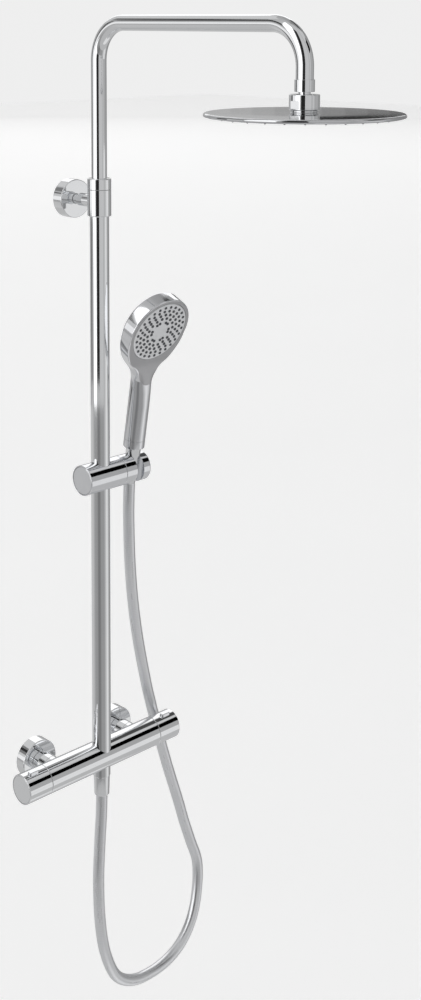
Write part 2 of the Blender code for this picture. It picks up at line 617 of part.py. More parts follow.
def overhead():
    where = {"at": (0, HEAD_Y, 0)}
    neck_height = math.sqrt(BALL_R ** 2 - BALL_NECK_R ** 2)
    ball_low = BALL_FLAT - BALL_R
    plug_low = ARM_COLLAR_BOTTOM + 0.002
    turned("ball_stem", chrome("chromed_ball"),
           [(plug_low + 0.020, ARM_R - ARM_WALL - GAP), (plug_low, ARM_R - ARM_WALL - GAP),
            (plug_low, BALL_NECK_R)] + ball_points(ball_low, neck_height, 7),
           [(BALL_Z + ball_low, BALL_BORE_R), (plug_low + 0.020, BALL_BORE_R)], sides=24, **where)
    seat_top = SEAT_HEIGHT - BALL_R
    seat_low = seat_top - SEAT_T
    seat_r = math.sqrt(BALL_R ** 2 - seat_top ** 2) + GAP
    turned("ball_seat", plastic("grey_seat", 0.35),
           [(BALL_Z + seat_top, seat_r + SEAT_WALL), (BALL_Z + seat_low, seat_r + SEAT_WALL)],
           [(BALL_Z + seat_low, seat_r), (BALL_Z + seat_top, seat_r)],
           sides=24, **where)
    lip = BALL_NUT_TOP - 0.0030
    nut = turned("ball_nut", chrome("chromed_ball_nut"),
                 [(BALL_NUT_TOP, BALL_NUT_R - 0.0008), (BALL_NUT_TOP - 0.0008, BALL_NUT_R),
                  (BALL_NUT_BOTTOM + 0.0008, BALL_NUT_R), (BALL_NUT_BOTTOM, BALL_NUT_R - 0.0008)],
                 [(BALL_NUT_BOTTOM, BALL_CHAMBER_R), (lip, BALL_CHAMBER_R), (lip, BALL_LIP_R),
                  (BALL_NUT_TOP, BALL_LIP_R)], **where)
    for side in (-1, 1):
        flat = box(f"wrench_flat_{side}", None, (0.004, 0.030, 0.0100),
                   at=(side * (BALL_NUT_R + 0.0008), HEAD_Y, BALL_NUT_BOTTOM + 0.0062),
                   hidden=True)
        cut(nut, flat)
    rim = HEAD_T / 2
    edge = []
    for i in range(5):
        angle = math.radians(90 - 22.5 * i)
        edge.append((HEAD_TOP - rim + rim * math.sin(angle),
                     HEAD_R - rim + rim * math.cos(angle)))
    edge.append((HEAD_TOP - HEAD_T + 0.0010, HEAD_R - 0.0006))
    turned("head_top_shell", chrome("polished_head"),
           [(HEAD_TOP + HEAD_COLLAR_H, HEAD_COLLAR_R), (HEAD_TOP, HEAD_COLLAR_R)] + edge,
           [(HEAD_TOP - HEAD_T + 0.0010, HEAD_R - 0.0018), (HEAD_TOP - HEAD_SHEET, HEAD_R - 0.0030),
            (HEAD_TOP - HEAD_SHEET, BALL_CHAMBER_R), (HEAD_TOP + HEAD_COLLAR_H, BALL_CHAMBER_R)],
           sides=RIM, **where)
    plate_top = HEAD_TOP - HEAD_T + 0.0020
    turned("head_spray_plate", chrome("polished_spray_plate"),
           [(plate_top, HEAD_R - 0.0030), (HEAD_TOP - HEAD_T + 0.0008, HEAD_R - 0.0024),
            (HEAD_TOP - HEAD_T, HEAD_R - 0.0040)], sides=RIM, **where)
    mat_low = plate_top + GAP
    turned("head_nozzle_mat", plastic("silicone_mat", 0.40),
           [(mat_low + 0.0010, HEAD_R - 0.012), (mat_low, HEAD_R - 0.012)], sides=RIM, **where)


# ---- slider and holder ----------------------------------------------------------------------
def slider():
    where = {"axis": "X", "at": (0, -WALL_TO_AXIS, -SLIDER_DROP)}
    recess = -SLIDER_LEFT + BUTTON_T + BUTTON_TRAVEL + 2 * GAP
    inner = SLIDER_RIGHT - SLIDER_END_WALL
    body = turned("slider_body", chrome("chromed_slider"),
                  [(SLIDER_RIGHT, SLIDER_R - 0.0004), (SLIDER_RIGHT - 0.0004, SLIDER_R),
                   (-SLIDER_LEFT + 0.0006, SLIDER_R), (-SLIDER_LEFT, SLIDER_R - 0.0006)],
                  [(-SLIDER_LEFT, BUTTON_R + GAP), (recess, BUTTON_R + GAP),
                   (recess, SLIDER_CHAMBER_R), (inner, SLIDER_CHAMBER_R),
                   (inner, AXLE_R + GAP), (SLIDER_RIGHT, AXLE_R + GAP)], **where)
    cut(body, rod("slider_bore", None, -0.04, 0.04, RISER_R + GAP,
                  at=(0, -WALL_TO_AXIS, -SLIDER_DROP), hidden=True))
    stem_end = recess + GAP
    turned("release_button", chrome("chromed_release"),
           [(stem_end - GAP, 0.005), (-SLIDER_LEFT + BUTTON_T + GAP, 0.005),
            (-SLIDER_LEFT + BUTTON_T + GAP, BUTTON_R), (-SLIDER_LEFT + 2 * GAP, BUTTON_R),
            (-SLIDER_LEFT + GAP, BUTTON_R - 0.0005)], **where)
    yoke = rod("brake_yoke", plastic("black_acetal", 0.05), stem_end, YOKE_RIGHT,
               SLIDER_CHAMBER_R - 2 * GAP, **where)
    hole = RISER_R + 2 * GAP
    for place_x in (0.0, -BUTTON_TRAVEL):
        cut(yoke, rod(f"yoke_hole_{place_x:.3f}", None, -0.04, 0.04, hole,
                      at=(place_x, -WALL_TO_AXIS, -SLIDER_DROP), hidden=True))
    coil("slider_spring", steel("slider_spring_steel"), YOKE_RIGHT + GAP, inner - GAP,
         0.0062, 0.0004, 3, turn=along("X"), at=(0, -WALL_TO_AXIS, -SLIDER_DROP))
    turned("holder_axle", steel("axle_steel"),
           [(SLIDER_RIGHT + 0.012, AXLE_R), (inner - GAP, AXLE_R), (inner - GAP, 0.0050),
            (inner - 0.0022, 0.0050)], sides=SMALL, **where)


def holder(frame):
    low = SLIDER_RIGHT + GAP
    body = turned("handset_holder", chrome("chromed_holder"),
                  [(HOLDER_RIGHT, SLIDER_R - 0.0030), (HOLDER_RIGHT - 0.0009, SLIDER_R - 0.0009),
                   (HOLDER_RIGHT - 0.0030, SLIDER_R), (low + 0.0004, SLIDER_R),
                   (low, SLIDER_R - 0.0004)],
                  axis="X", parent=frame)
    cut(body, rod("axle_socket", None, low - 0.002, SLIDER_RIGHT + 0.012 + 2 * GAP,
                  AXLE_R + GAP, axis="X", sides=SMALL, parent=frame, hidden=True))
    top = SLIDER_R + 0.004
    slope = (CONE_TOP_R - CONE_BOTTOM_R) / (CONE_TOP - CONE_BOTTOM)
    middle = CONE_BOTTOM_R - slope * CONE_BOTTOM + GAP
    cut(body, turned("cone_hole", None, [(top, middle + slope * top), (-top, middle - slope * top)],
                     at=(HOLDER_HOLE, 0, 0), parent=frame, hidden=True))
    cut(body, box("holder_slot", None, (HOLDER_SLOT, 0.030, 0.060),
                  at=(HOLDER_HOLE, -0.015, 0), parent=frame, hidden=True))


# ---- handset and hose -----------------------------------------------------------------------
def handset(frame):
    axis_frame = empty("handset_axis", (HOLDER_HOLE, 0, 0), parent=frame)
    face_frame = empty("handset_face_axis", (0, -FACE_FORWARD, FACE_UP),
                       turn=(math.pi / 2 + FACE_ANGLE, 0, 0), parent=axis_frame)
    washer_top = CONE_TOP - 0.010 - GAP
    floor = washer_top - WASHER_T - GAP
    thread_r = 0.0092
    turned("hose_cone_nut", chrome("chromed_cone"),
           [(CONE_TOP, CONE_TOP_R - 0.0005), (CONE_TOP - 0.0005, CONE_TOP_R),
            (CONE_BOTTOM, CONE_BOTTOM_R)],
           [(CONE_BOTTOM, 0.0050), (floor, 0.0050), (floor, thread_r + GAP),
            (CONE_TOP, thread_r + GAP)], parent=axis_frame)
    turned("handset_end_sleeve", chrome("chromed_end_sleeve"),
           [(END_SLEEVE_TOP + 0.012, 0.0120), (END_SLEEVE_TOP, 0.0120),
            (END_SLEEVE_TOP, HANDLE_R), (HANDLE_FOOT + 0.0008, HANDLE_R - 0.0004),
            (HANDLE_FOOT, HANDLE_R - 0.0012), (HANDLE_FOOT, thread_r),
            (washer_top + GAP, thread_r)],
           [(washer_top + GAP, 0.0055), (END_SLEEVE_TOP + 0.012, 0.0055)], parent=axis_frame)
    grip = meshed(wire("handset_shell", chrome("chromed_handset"),
                       [(0, 0, END_SLEEVE_TOP + GAP), (0, 0, 0.125), (0, -0.002, 0.150),
                        (0, -0.006, 0.172), (0, -0.012, 0.192)], HANDLE_R, resolution=7))
    grip.parent = axis_frame
    head = turned("handset_head_shape", None,
                  [(0.0, HANDSET_HEAD_R - 0.001), (-0.001, HANDSET_HEAD_R),
                   (-HANDSET_HEAD_T + 0.006, HANDSET_HEAD_R),
                   (-HANDSET_HEAD_T + 0.0015, HANDSET_HEAD_R - 0.0035),
                   (-HANDSET_HEAD_T, HANDSET_HEAD_R - 0.012)],
                  sides=32, parent=face_frame, hidden=True)
    join(grip, head)
    bowl = turned("handset_bowl_shape", None,
                  [(0.010, FACE_R + GAP), (-FACE_T - 0.004, FACE_R + GAP),
                   (-HANDSET_HEAD_T + SHELL_WALL + 0.004, HANDSET_HEAD_R - 0.010)],
                  sides=32, parent=face_frame, hidden=True)
    cut(grip, bowl)
    cut(grip, rod("handset_duct_shape", None, 0.0, 0.190, 0.0123, parent=axis_frame,
                  hidden=True))
    turned("handset_face", plastic("grey_face", 0.34),
           [(0.0, FACE_R), (-FACE_T, FACE_R)],
           [(-FACE_T, SPRAY_R + GAP), (0.0, SPRAY_R + GAP)], sides=32, parent=face_frame)
    turned("spray_disc", plastic("light_grey_disc", 0.62),
           [(0.0006, SPRAY_R - 0.0006), (0.0, SPRAY_R), (-FACE_T, SPRAY_R)], sides=32,
           parent=face_frame)
    turned("spray_distributor", plastic("white_distributor", 0.75),
           [(-FACE_T - GAP, 0.044), (-FACE_T - 0.004, 0.044)],
           [(-FACE_T - 0.004, 0.006), (-FACE_T - GAP, 0.006)], sides=ROUND,
           parent=face_frame)


def hose():
    wire("shower_hose", plastic("silver_hose", 0.55), smooth_path(HOSE_ROUTE, HOSE_POINTS),
         HOSE_R, resolution=2)


def main():
    global parts, cutters
    clear_scene()
    parts = collection("rainfall_shower_column")
    cutters = collection("cutters")
    mixer_body()
    for side, word in ((-1, "left"), (1, "right")):
        inlet(side, word)
    for side, word in ((-1, "temperature"), (1, "flow")):
        handle(side, word)
    outlet()
    riser()
    bracket()
    arm()
    overhead()
    slider()
    tilt = empty("holder_tilt_axis", (0, -WALL_TO_AXIS, -SLIDER_DROP), turn=(HANDSET_TILT, 0, 0))
    holder(tilt)
    handset(tilt)
    hose()


main()
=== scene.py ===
# Rainfall shower column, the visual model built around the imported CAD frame.
# Everything is in metres in the frame's own axes: +Z up, the wall at y = 0, the room towards -Y.
import json
import math

import bmesh
import bpy
import numpy as np
from mathutils import Matrix, Vector


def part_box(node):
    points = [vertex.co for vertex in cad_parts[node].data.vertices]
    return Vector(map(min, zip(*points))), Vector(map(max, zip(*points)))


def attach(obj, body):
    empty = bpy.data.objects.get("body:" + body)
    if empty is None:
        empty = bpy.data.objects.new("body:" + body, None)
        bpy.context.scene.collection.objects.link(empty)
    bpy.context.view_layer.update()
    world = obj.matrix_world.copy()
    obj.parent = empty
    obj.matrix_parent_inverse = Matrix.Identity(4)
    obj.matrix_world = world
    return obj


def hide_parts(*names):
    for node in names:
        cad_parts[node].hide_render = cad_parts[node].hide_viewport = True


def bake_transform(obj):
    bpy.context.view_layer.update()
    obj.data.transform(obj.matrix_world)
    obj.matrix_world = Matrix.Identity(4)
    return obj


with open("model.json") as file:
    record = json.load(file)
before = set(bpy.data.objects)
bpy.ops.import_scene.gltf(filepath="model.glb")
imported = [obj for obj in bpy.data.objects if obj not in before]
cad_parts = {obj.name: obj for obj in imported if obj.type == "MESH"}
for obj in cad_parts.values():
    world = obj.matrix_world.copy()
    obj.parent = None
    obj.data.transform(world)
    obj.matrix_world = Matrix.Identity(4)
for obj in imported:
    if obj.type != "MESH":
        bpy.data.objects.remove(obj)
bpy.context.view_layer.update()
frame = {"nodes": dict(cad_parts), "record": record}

nodes = frame["nodes"]
mm = 0.001


def jointNamed(name):
    return next(joint for joint in frame["record"]["behaviour"]["joints"] if joint["name"] == name)


def boxOf(node):
    low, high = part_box(node)
    return Vector(low), Vector(high)


def centreOf(node):
    low, high = boxOf(node)
    return (low + high) / 2


# Axes that the pieces are built on, all read from the frame
riserY = centreOf("riser_tube").y
# This box takes in the legs, so the centre lies 5.25 mm nearer the wall than the bar's own axis
mixerCentre = centreOf("mixer_body")
mixerCentre.z = centreOf("temperature_handle_cap").z
sliderCentre = Vector((0.0, riserY, centreOf("slider_body").z))
bracketCentre = Vector((0.0, riserY, centreOf("bracket_rosette").z))
headCentre = Vector((0.0, centreOf("head_top_shell").y, 0.0))
handsetAxis = Vector(jointNamed("handset_lift")["axis"])
handsetFoot = Vector((jointNamed("spray_disc_turn")["pos_m"][0], riserY, sliderCentre.z))


camera = {
    "place": (-1.3007, -1.5982, 0.2581),
    "turn": 42.38,      # degrees from +Y towards +X
    "down": 7.0,
    "lens": 51.45,      # mm on a 36 mm sensor
    "shift": (0.0622, -0.3064),
}


def addCamera():
    data = bpy.data.cameras.new("studio_camera")
    data.lens = camera["lens"]
    data.sensor_width = 36
    data.shift_x, data.shift_y = camera["shift"]
    made = bpy.data.objects.new("studio_camera", data)
    made.location = camera["place"]
    made.rotation_euler = (math.radians(90 - camera["down"]), 0, math.radians(-camera["turn"]))
    bpy.context.scene.collection.objects.link(made)
    bpy.context.scene.camera = made


addCamera()
print("camera placed")


def linked(name, mesh):
    made = bpy.data.objects.new(name, mesh)
    bpy.context.scene.collection.objects.link(made)
    return made


def meshFrom(name, points, faces):
    mesh = bpy.data.meshes.new(name)
    mesh.from_pydata([tuple(point) for point in points], [], faces)
    shape = bmesh.new()
    shape.from_mesh(mesh)
    bmesh.ops.remove_doubles(shape, verts=shape.verts, dist=0.002 * mm)
    bmesh.ops.dissolve_degenerate(shape, edges=shape.edges, dist=0.001 * mm)
    bmesh.ops.recalc_face_normals(shape, faces=shape.faces)
    shape.to_mesh(mesh)
    shape.free()
    return mesh


def smoothed(made, sharp=32):
    made.data.shade_smooth()
    made.data.set_sharp_from_angle(angle=math.radians(sharp))
    weighted = made.modifiers.new("face weighted normals", "WEIGHTED_NORMAL")
    weighted.keep_sharp = True
    return made


def filleted(corners, closed, steps=4):
    # corners are (height, radius) or (height, radius, fillet), and each fillet becomes an arc
    points = []
    count = len(corners)
    for i, corner in enumerate(corners):
        fillet = corner[2] * mm if len(corner) > 2 else 0.0
        here = Vector(corner[:2])
        if fillet <= 0 or (not closed and i in (0, count - 1)):
            points.append(here)
            continue
        before = Vector(corners[i - 1][:2])
        after = Vector(corners[(i + 1) % count][:2])
        toBefore, toAfter = (before - here).normalized(), (after - here).normalized()
        half = toBefore.angle(toAfter) / 2
        reach = min(fillet / math.tan(half), 0.49 * (before - here).length,
                    0.49 * (after - here).length)
        radius = reach * math.tan(half)
        middle = here + (toBefore + toAfter).normalized() * radius / math.sin(half)
        start, end = here + toBefore * reach - middle, here + toAfter * reach - middle
        sweep = start.angle(end)
        for k in range(steps + 1):
            share = k / steps
            mixed = (start * math.sin((1 - share) * sweep) + end * math.sin(share * sweep))
            points.append(middle + mixed / math.sin(sweep))
    return points


def axisMatrix(axis, centre):
    # lays a piece's own height axis along X, Y, Z or any direction
    named = {"X": (1, 0, 0), "Y": (0, 1, 0), "Z": (0, 0, 1)}
    direction = Vector(named[axis] if isinstance(axis, str) else axis)
    return Matrix.Translation(centre) @ direction.to_track_quat("Z", "Y").to_matrix().to_4x4()


def turnedPoints(corners, closed, sides, matrix, steps=4):
    profile = filleted(corners, closed, steps)
    points, faces = [], []
    for point in profile:
        for k in range(sides):
            angle = 2 * math.pi * k / sides
            points.append(matrix @ Vector((point[1] * math.cos(angle),
                                           point[1] * math.sin(angle), point[0])))
    rows = len(profile)
    for i in range(rows if closed else rows - 1):
        for k in range(sides):
            a, b = i * sides + k, i * sides + (k + 1) % sides
            c, d = ((i + 1) % rows) * sides + (k + 1) % sides, ((i + 1) % rows) * sides + k
            faces.append((a, b, c, d))
    return points, faces


def turned(name, corners, axis, centre, sides=96, hollow=False, steps=4):
    # a solid profile starts and ends on the axis, and a hollow one is a closed loop
    points, faces = turnedPoints(corners, hollow, sides, axisMatrix(axis, centre), steps)
    return linked(name, meshFrom(name, points, faces))


def blockOf(name, low, high, fillet=0.0, steps=3):
    mesh = bpy.data.meshes.new(name)
    shape = bmesh.new()
    bmesh.ops.create_cube(shape, size=1.0)
    low, high = Vector(low), Vector(high)
    for vertex in shape.verts:
        vertex.co = Vector(((low[i] + high[i]) / 2 + vertex.co[i] * (high[i] - low[i]))
                           for i in range(3))
    if fillet:
        bmesh.ops.bevel(shape, geom=shape.edges[:], offset=fillet * mm, segments=steps,
                        profile=0.5, affect="EDGES")
    shape.to_mesh(mesh)
    shape.free()
    return linked(name, mesh)


def combine(piece, tool, operation):
    # one exact Boolean, applied at once, and the tool is thrown away
    step = piece.modifiers.new("combine", "BOOLEAN")
    step.operation = operation
    step.solver = "EXACT"
    step.object = tool
    bpy.context.view_layer.update()
    result = bpy.data.meshes.new_from_object(
        piece.evaluated_get(bpy.context.evaluated_depsgraph_get()))
    piece.modifiers.remove(step)
    piece.data = result
    bpy.data.objects.remove(tool, do_unlink=True)
    return piece


def finishPiece(piece, material, slot, body, *replaced):
    piece.data.materials.clear()
    piece.data.materials.append(material)
    smoothed(piece)
    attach(piece, body)
    if replaced:
        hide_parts(*replaced)
    return piece


def toLinear(hexColour, alpha=1.0):
    # sRGB hex to the linear values that shaders take
    parts = [int(hexColour[i:i + 2], 16) / 255 for i in (1, 3, 5)]
    linear = [c / 12.92 if c <= 0.04045 else ((c + 0.055) / 1.055) ** 2.4 for c in parts]
    return tuple(linear) + (alpha,)


def addNode(tree, kind, settings=None, links=None):
    # adds one node, sets its properties or input sockets, and links its inputs
    node = tree.nodes.new(kind)
    for key, value in (settings or {}).items():
        if isinstance(key, str) and hasattr(node, key) and key not in node.inputs:
            setattr(node, key, value)
        else:
            node.inputs[key].default_value = value
    for key, source in (links or {}).items():
        tree.links.new(source, node.inputs[key])
    return node


def startMaterial(name, sockets):
    made = bpy.data.materials.new(name)
    made.use_nodes = True
    tree = made.node_tree
    shader = tree.nodes["Principled BSDF"]
    for key, value in sockets.items():
        shader.inputs[key].default_value = value
    return made, tree, shader


def perMetre(sizeMm):
    # noise scale that gives features of about this size in millimetres
    return 1 / (sizeMm * mm)


def addVariation(tree, shader, colours, roughness, grainMm, bump, bumpMm, detail=3.0):
    # colour and roughness drift slowly over the surface, and a fine bump breaks the gloss
    place = addNode(tree, "ShaderNodeTexCoord")
    drift = addNode(tree, "ShaderNodeTexNoise", {"Scale": perMetre(grainMm), "Detail": detail},
                    {"Vector": place.outputs["Object"]})
    tint = addNode(tree, "ShaderNodeMix", {"data_type": "RGBA"}, {0: drift.outputs["Fac"]})
    tint.inputs[6].default_value = toLinear(colours[0])
    tint.inputs[7].default_value = toLinear(colours[1])
    tree.links.new(tint.outputs[2], shader.inputs["Base Color"])
    haze = addNode(tree, "ShaderNodeMapRange", {"To Min": roughness[0], "To Max": roughness[1]},
                   {"Value": drift.outputs["Fac"]})
    tree.links.new(haze.outputs[0], shader.inputs["Roughness"])
    if bump:
        fine = addNode(tree, "ShaderNodeTexNoise", {"Scale": perMetre(bumpMm), "Detail": 2.0},
                       {"Vector": place.outputs["Object"]})
        relief = addNode(tree, "ShaderNodeBump", {"Strength": bump, "Distance": 0.05 * mm},
                         {"Height": fine.outputs["Fac"]})
        tree.links.new(relief.outputs[0], shader.inputs["Normal"])
    return place


def varied(name, sockets, *variation):
    made, tree, shader = startMaterial(name, sockets)
    addVariation(tree, shader, *variation)
    return made


def moulded(name, colours, roughness, ior=1.49):
    # moulded plastic: fine spark-eroded grain of about half a millimetre
    return varied(name, {"IOR": ior}, colours, roughness, 8, 0.12, 0.5)


def hoseSleeve():
    # silver hose: metallised foil and fine reinforcing spiral under a smooth clear sleeve
    made, tree, shader = startMaterial("metallised_hose_sleeve", {
        "Metallic": 0.9, "Coat Weight": 0.5, "Coat Roughness": 0.12, "Coat IOR": 1.5})
    place = addNode(tree, "ShaderNodeUVMap", {"uv_map": "along"})
    apart = addNode(tree, "ShaderNodeSeparateXYZ", None, {0: place.outputs[0]})
    # spiral pitch 3 mm, coarser than the real 1.5 mm so that it still shows at a distance
    turns = addNode(tree, "ShaderNodeMath", {"operation": "MULTIPLY_ADD", 1: 1 / (3.0 * mm)},
                    {0: apart.outputs["Y"], 2: apart.outputs["X"]})
    wave = addNode(tree, "ShaderNodeMath", {"operation": "PINGPONG", 1: 0.5},
                   {0: turns.outputs[0]})
    ridge = addNode(tree, "ShaderNodeMapRange", {"From Max": 0.5}, {"Value": wave.outputs[0]})
    drift = addNode(tree, "ShaderNodeTexNoise", {"Scale": 18.0, "Detail": 2.0},
                    {"Vector": place.outputs[0]})
    shade = addNode(tree, "ShaderNodeMath", {"operation": "MULTIPLY_ADD", 1: 0.35},
                    {0: ridge.outputs[0], 2: drift.outputs["Fac"]})
    tint = addNode(tree, "ShaderNodeMix", {"data_type": "RGBA"}, {0: shade.outputs[0]})
    tint.inputs[6].default_value = toLinear("#dcdde0")
    tint.inputs[7].default_value = toLinear("#f0f1f3")
    tree.links.new(tint.outputs[2], shader.inputs["Base Color"])
    haze = addNode(tree, "ShaderNodeMapRange", {"To Min": 0.24, "To Max": 0.34},
                   {"Value": drift.outputs["Fac"]})
    tree.links.new(haze.outputs[0], shader.inputs["Roughness"])
    relief = addNode(tree, "ShaderNodeBump", {"Strength": 0.25, "Distance": 0.08 * mm},
                     {"Height": ridge.outputs[0]})
    tree.links.new(relief.outputs[0], shader.inputs["Normal"])
    return made


# bright chrome over polished brass: a near mirror with a faint wiped haze
chrome = varied("chrome_plated_brass", {"Metallic": 1.0}, ("#e9eaec", "#f1f2f3"),
                (0.035, 0.07), 45, 0.02, 6)
# electroplated ABS: the same chrome with the slow ripple of the moulding under it
chromedAbs = varied("chrome_plated_abs", {"Metallic": 1.0}, ("#e2e3e6", "#eeeff1"),
                    (0.05, 0.09), 30, 0.05, 9)
# polished stainless sheet: slightly darker and softer than the chrome beside it
steelSheet = varied("polished_stainless_sheet", {"Metallic": 1.0}, ("#cfd0d2", "#dadbdd"),
                    (0.05, 0.10), 60, 0.03, 14)
# satin plated face: an even mid grey that only hints at what is around it
facePlate = varied("satin_plated_face", {"Metallic": 0.85}, ("#b6b6b8", "#bfbfc1"),
                   (0.30, 0.36), 12, 0.05, 0.8)
# pale satin silver of the spray disc, a little metallic, with a fine moulded texture
discSilver = varied("satin_silver_disc", {"Metallic": 0.75}, ("#e9eaec", "#f3f4f6"),
                    (0.26, 0.34), 10, 0.06, 0.9)
# soft silicone: dull, slightly waxy, darker in its pores
silicone = varied("moulded_silicone", {"IOR": 1.41}, ("#4c4d51", "#5d5e62"),
                  (0.5, 0.62), 4, 0.15, 0.4)
# machined brass: warm metal with the fine rings of the lathe
brass = varied("machined_brass", {"Metallic": 1.0}, ("#b08d4e", "#caa765"),
               (0.22, 0.36), 6, 0.2, 0.3)
# zinc plated steel: cool grey, cloudy between dull and bright
steel = varied("zinc_plated_steel", {"Metallic": 1.0}, ("#9b9da2", "#c3c5c8"),
               (0.25, 0.42), 3, 0.1, 0.6)
hoseSilver = hoseSleeve()
# four plain moulded materials of the parts inside: acetal, ABS and nitrile rubber
whiteAcetal = moulded("white_acetal", ("#dcdcd8", "#e6e6e3"), (0.35, 0.45))
greyAbs = moulded("grey_moulded_abs", ("#6c6d70", "#77787b"), (0.40, 0.50), 1.53)
blackAcetal = moulded("black_acetal", ("#1b1b1d", "#242426"), (0.38, 0.48))
blackRubber = moulded("black_nitrile_rubber", ("#191919", "#232323"), (0.65, 0.8), 1.52)
print("materials made")


# Route from the mixer's outlet to the cone under the handset
hose = {
    "diameter": 17.0,
    "sides": 32,
    "step": 4.0,
    "tip": 0.105,       # length in metres of the last piece, at the cone
    "neck": 0.130,      # length in metres of the piece before it
    "route": [
        (0.000, -0.070, -0.8886), (-0.001, -0.070, -0.920), (-0.004, -0.070, -0.962),
        (-0.007, -0.070, -1.024), (-0.004, -0.0695, -1.090), (0.007, -0.068, -1.148),
        (0.031, -0.065, -1.199), (0.068, -0.061, -1.227), (0.112, -0.056, -1.238),
        (0.156, -0.051, -1.237), (0.190, -0.047, -1.223), (0.216, -0.043, -1.194),
        (0.230, -0.039, -1.153), (0.2325, -0.036, -1.110), (0.220, -0.033, -1.070),
        (0.207, -0.031, -1.031), (0.195, -0.030, -0.992), (0.182, -0.029, -0.953),
        (0.169, -0.029, -0.915), (0.151, -0.029, -0.858), (0.133, -0.031, -0.801),
        (0.121, -0.034, -0.764), (0.100, -0.040, -0.690), (0.083, -0.047, -0.619),
        (0.070, -0.055, -0.550), (0.0625, -0.061, -0.484), (0.0597, -0.0645, -0.450),
        (0.0595, -0.0658, -0.4245),
    ],
}


def smoothRoute(points, step):
    ends = [Vector(point) for point in points]
    knots = [ends[0] * 2 - ends[1]] + ends + [ends[-1] * 2 - ends[-2]]
    fine = []
    for a, b, c, d in zip(knots, knots[1:], knots[2:], knots[3:]):
        for k in range(24):
            t = k / 24
            fine.append(0.5 * ((2 * b) + (c - a) * t + (2 * a - 5 * b + 4 * c - d) * t * t
                               + (3 * b - a - 3 * c + d) * t * t * t))
    fine.append(ends[-1])
    fine = np.array([tuple(point) for point in fine])
    reach = np.concatenate([[0], np.cumsum(np.linalg.norm(np.diff(fine, axis=0), axis=1))])
    wanted = np.linspace(0, reach[-1], int(reach[-1] / (step * mm)) + 1)
    return [Vector(row) for row in
            np.stack([np.interp(wanted, reach, fine[:, k]) for k in range(3)], axis=1)], wanted


def ringsAlong(path):
    # a frame at each point, carried along the path without twist
    tangents = []
    for i in range(len(path)):
        ahead, behind = path[min(i + 1, len(path) - 1)], path[max(i - 1, 0)]
        tangents.append((ahead - behind).normalized())
    side = tangents[0].orthogonal().normalized()
    if abs(tangents[0].x) < 0.9:
        side = (Vector((1, 0, 0)) - tangents[0] * tangents[0].x).normalized()
    rings, reach = [], 0.0
    for i, (point, tangent) in enumerate(zip(path, tangents)):
        if i:
            reach += (point - path[i - 1]).length
            side = (side - tangent * side.dot(tangent)).normalized()
        rings.append((point, side, tangent.cross(side), reach))
    return rings


def sweptTube(name, rings, radius, sides, inner=None):
    # a tube through the rings, with flat ends or a second skin inside
    shape = bmesh.new()
    uv = shape.loops.layers.uv.new("along")

    def skin(size, outward):
        rows = []
        for point, across, up, _ in rings:
            rows.append([shape.verts.new(point + across * size * math.cos(2 * math.pi * k / sides)
                                         + up * size * math.sin(2 * math.pi * k / sides))
                         for k in range(sides)])
        for i in range(len(rows) - 1):
            for k in range(sides):
                n = (k + 1) % sides
                corners = [(rows[i][k], k, i), (rows[i][n], k + 1, i),
                           (rows[i + 1][n], k + 1, i + 1), (rows[i + 1][k], k, i + 1)]
                if not outward:
                    corners.reverse()
                face = shape.faces.new([corner[0] for corner in corners])
                face.smooth = True
                for loop, corner in zip(face.loops, corners):
                    loop[uv].uv = (corner[1] / sides, rings[corner[2]][3])
        return rows

    outside = skin(radius, True)
    if inner:
        inside = skin(inner, False)
        for end in (0, -1):
            for k in range(sides):
                n = (k + 1) % sides
                shape.faces.new([outside[end][k], outside[end][n], inside[end][n], inside[end][k]])
    else:
        shape.faces.new(list(reversed(outside[0])))
        shape.faces.new(outside[-1])
    bmesh.ops.recalc_face_normals(shape, faces=shape.faces)
    mesh = bpy.data.meshes.new(name)
    shape.to_mesh(mesh)
    shape.free()
    mesh.set_sharp_from_angle(angle=math.radians(40))
    return linked(name, mesh)


def addHose():
    # one hose in three lengths: the run from the mixer, the neck and the tip at the cone
    points, reach = smoothRoute(hose["route"], hose["step"])
    total = reach[-1]
    radius = hose["diameter"] / 2 * mm
    neckStart = int(np.searchsorted(reach, total - hose["tip"] - hose["neck"]))
    tipStart = int(np.searchsorted(reach, total - hose["tip"]))
    spans = {"hose_run": (0, neckStart), "hose_neck": (neckStart, tipStart),
             "hose_tip": (tipStart, len(points) - 1)}
    made = {}
    rings = ringsAlong(points)
    for name, (first, last) in spans.items():
        path = points[first:last + 1]
        piece = sweptTube(name, rings[first:last + 1], radius, hose["sides"])
        piece.data.materials.append(hoseSilver)
        made[name] = piece
        hose[name] = {"path": [tuple(point) for point in path],
                      "length": float(reach[last] - reach[first])}
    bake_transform(made["hose_run"])
    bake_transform(made["hose_neck"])
    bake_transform(made["hose_tip"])
    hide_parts("shower_hose")
    return made


hosePieces = addHose()
print("hose laid")


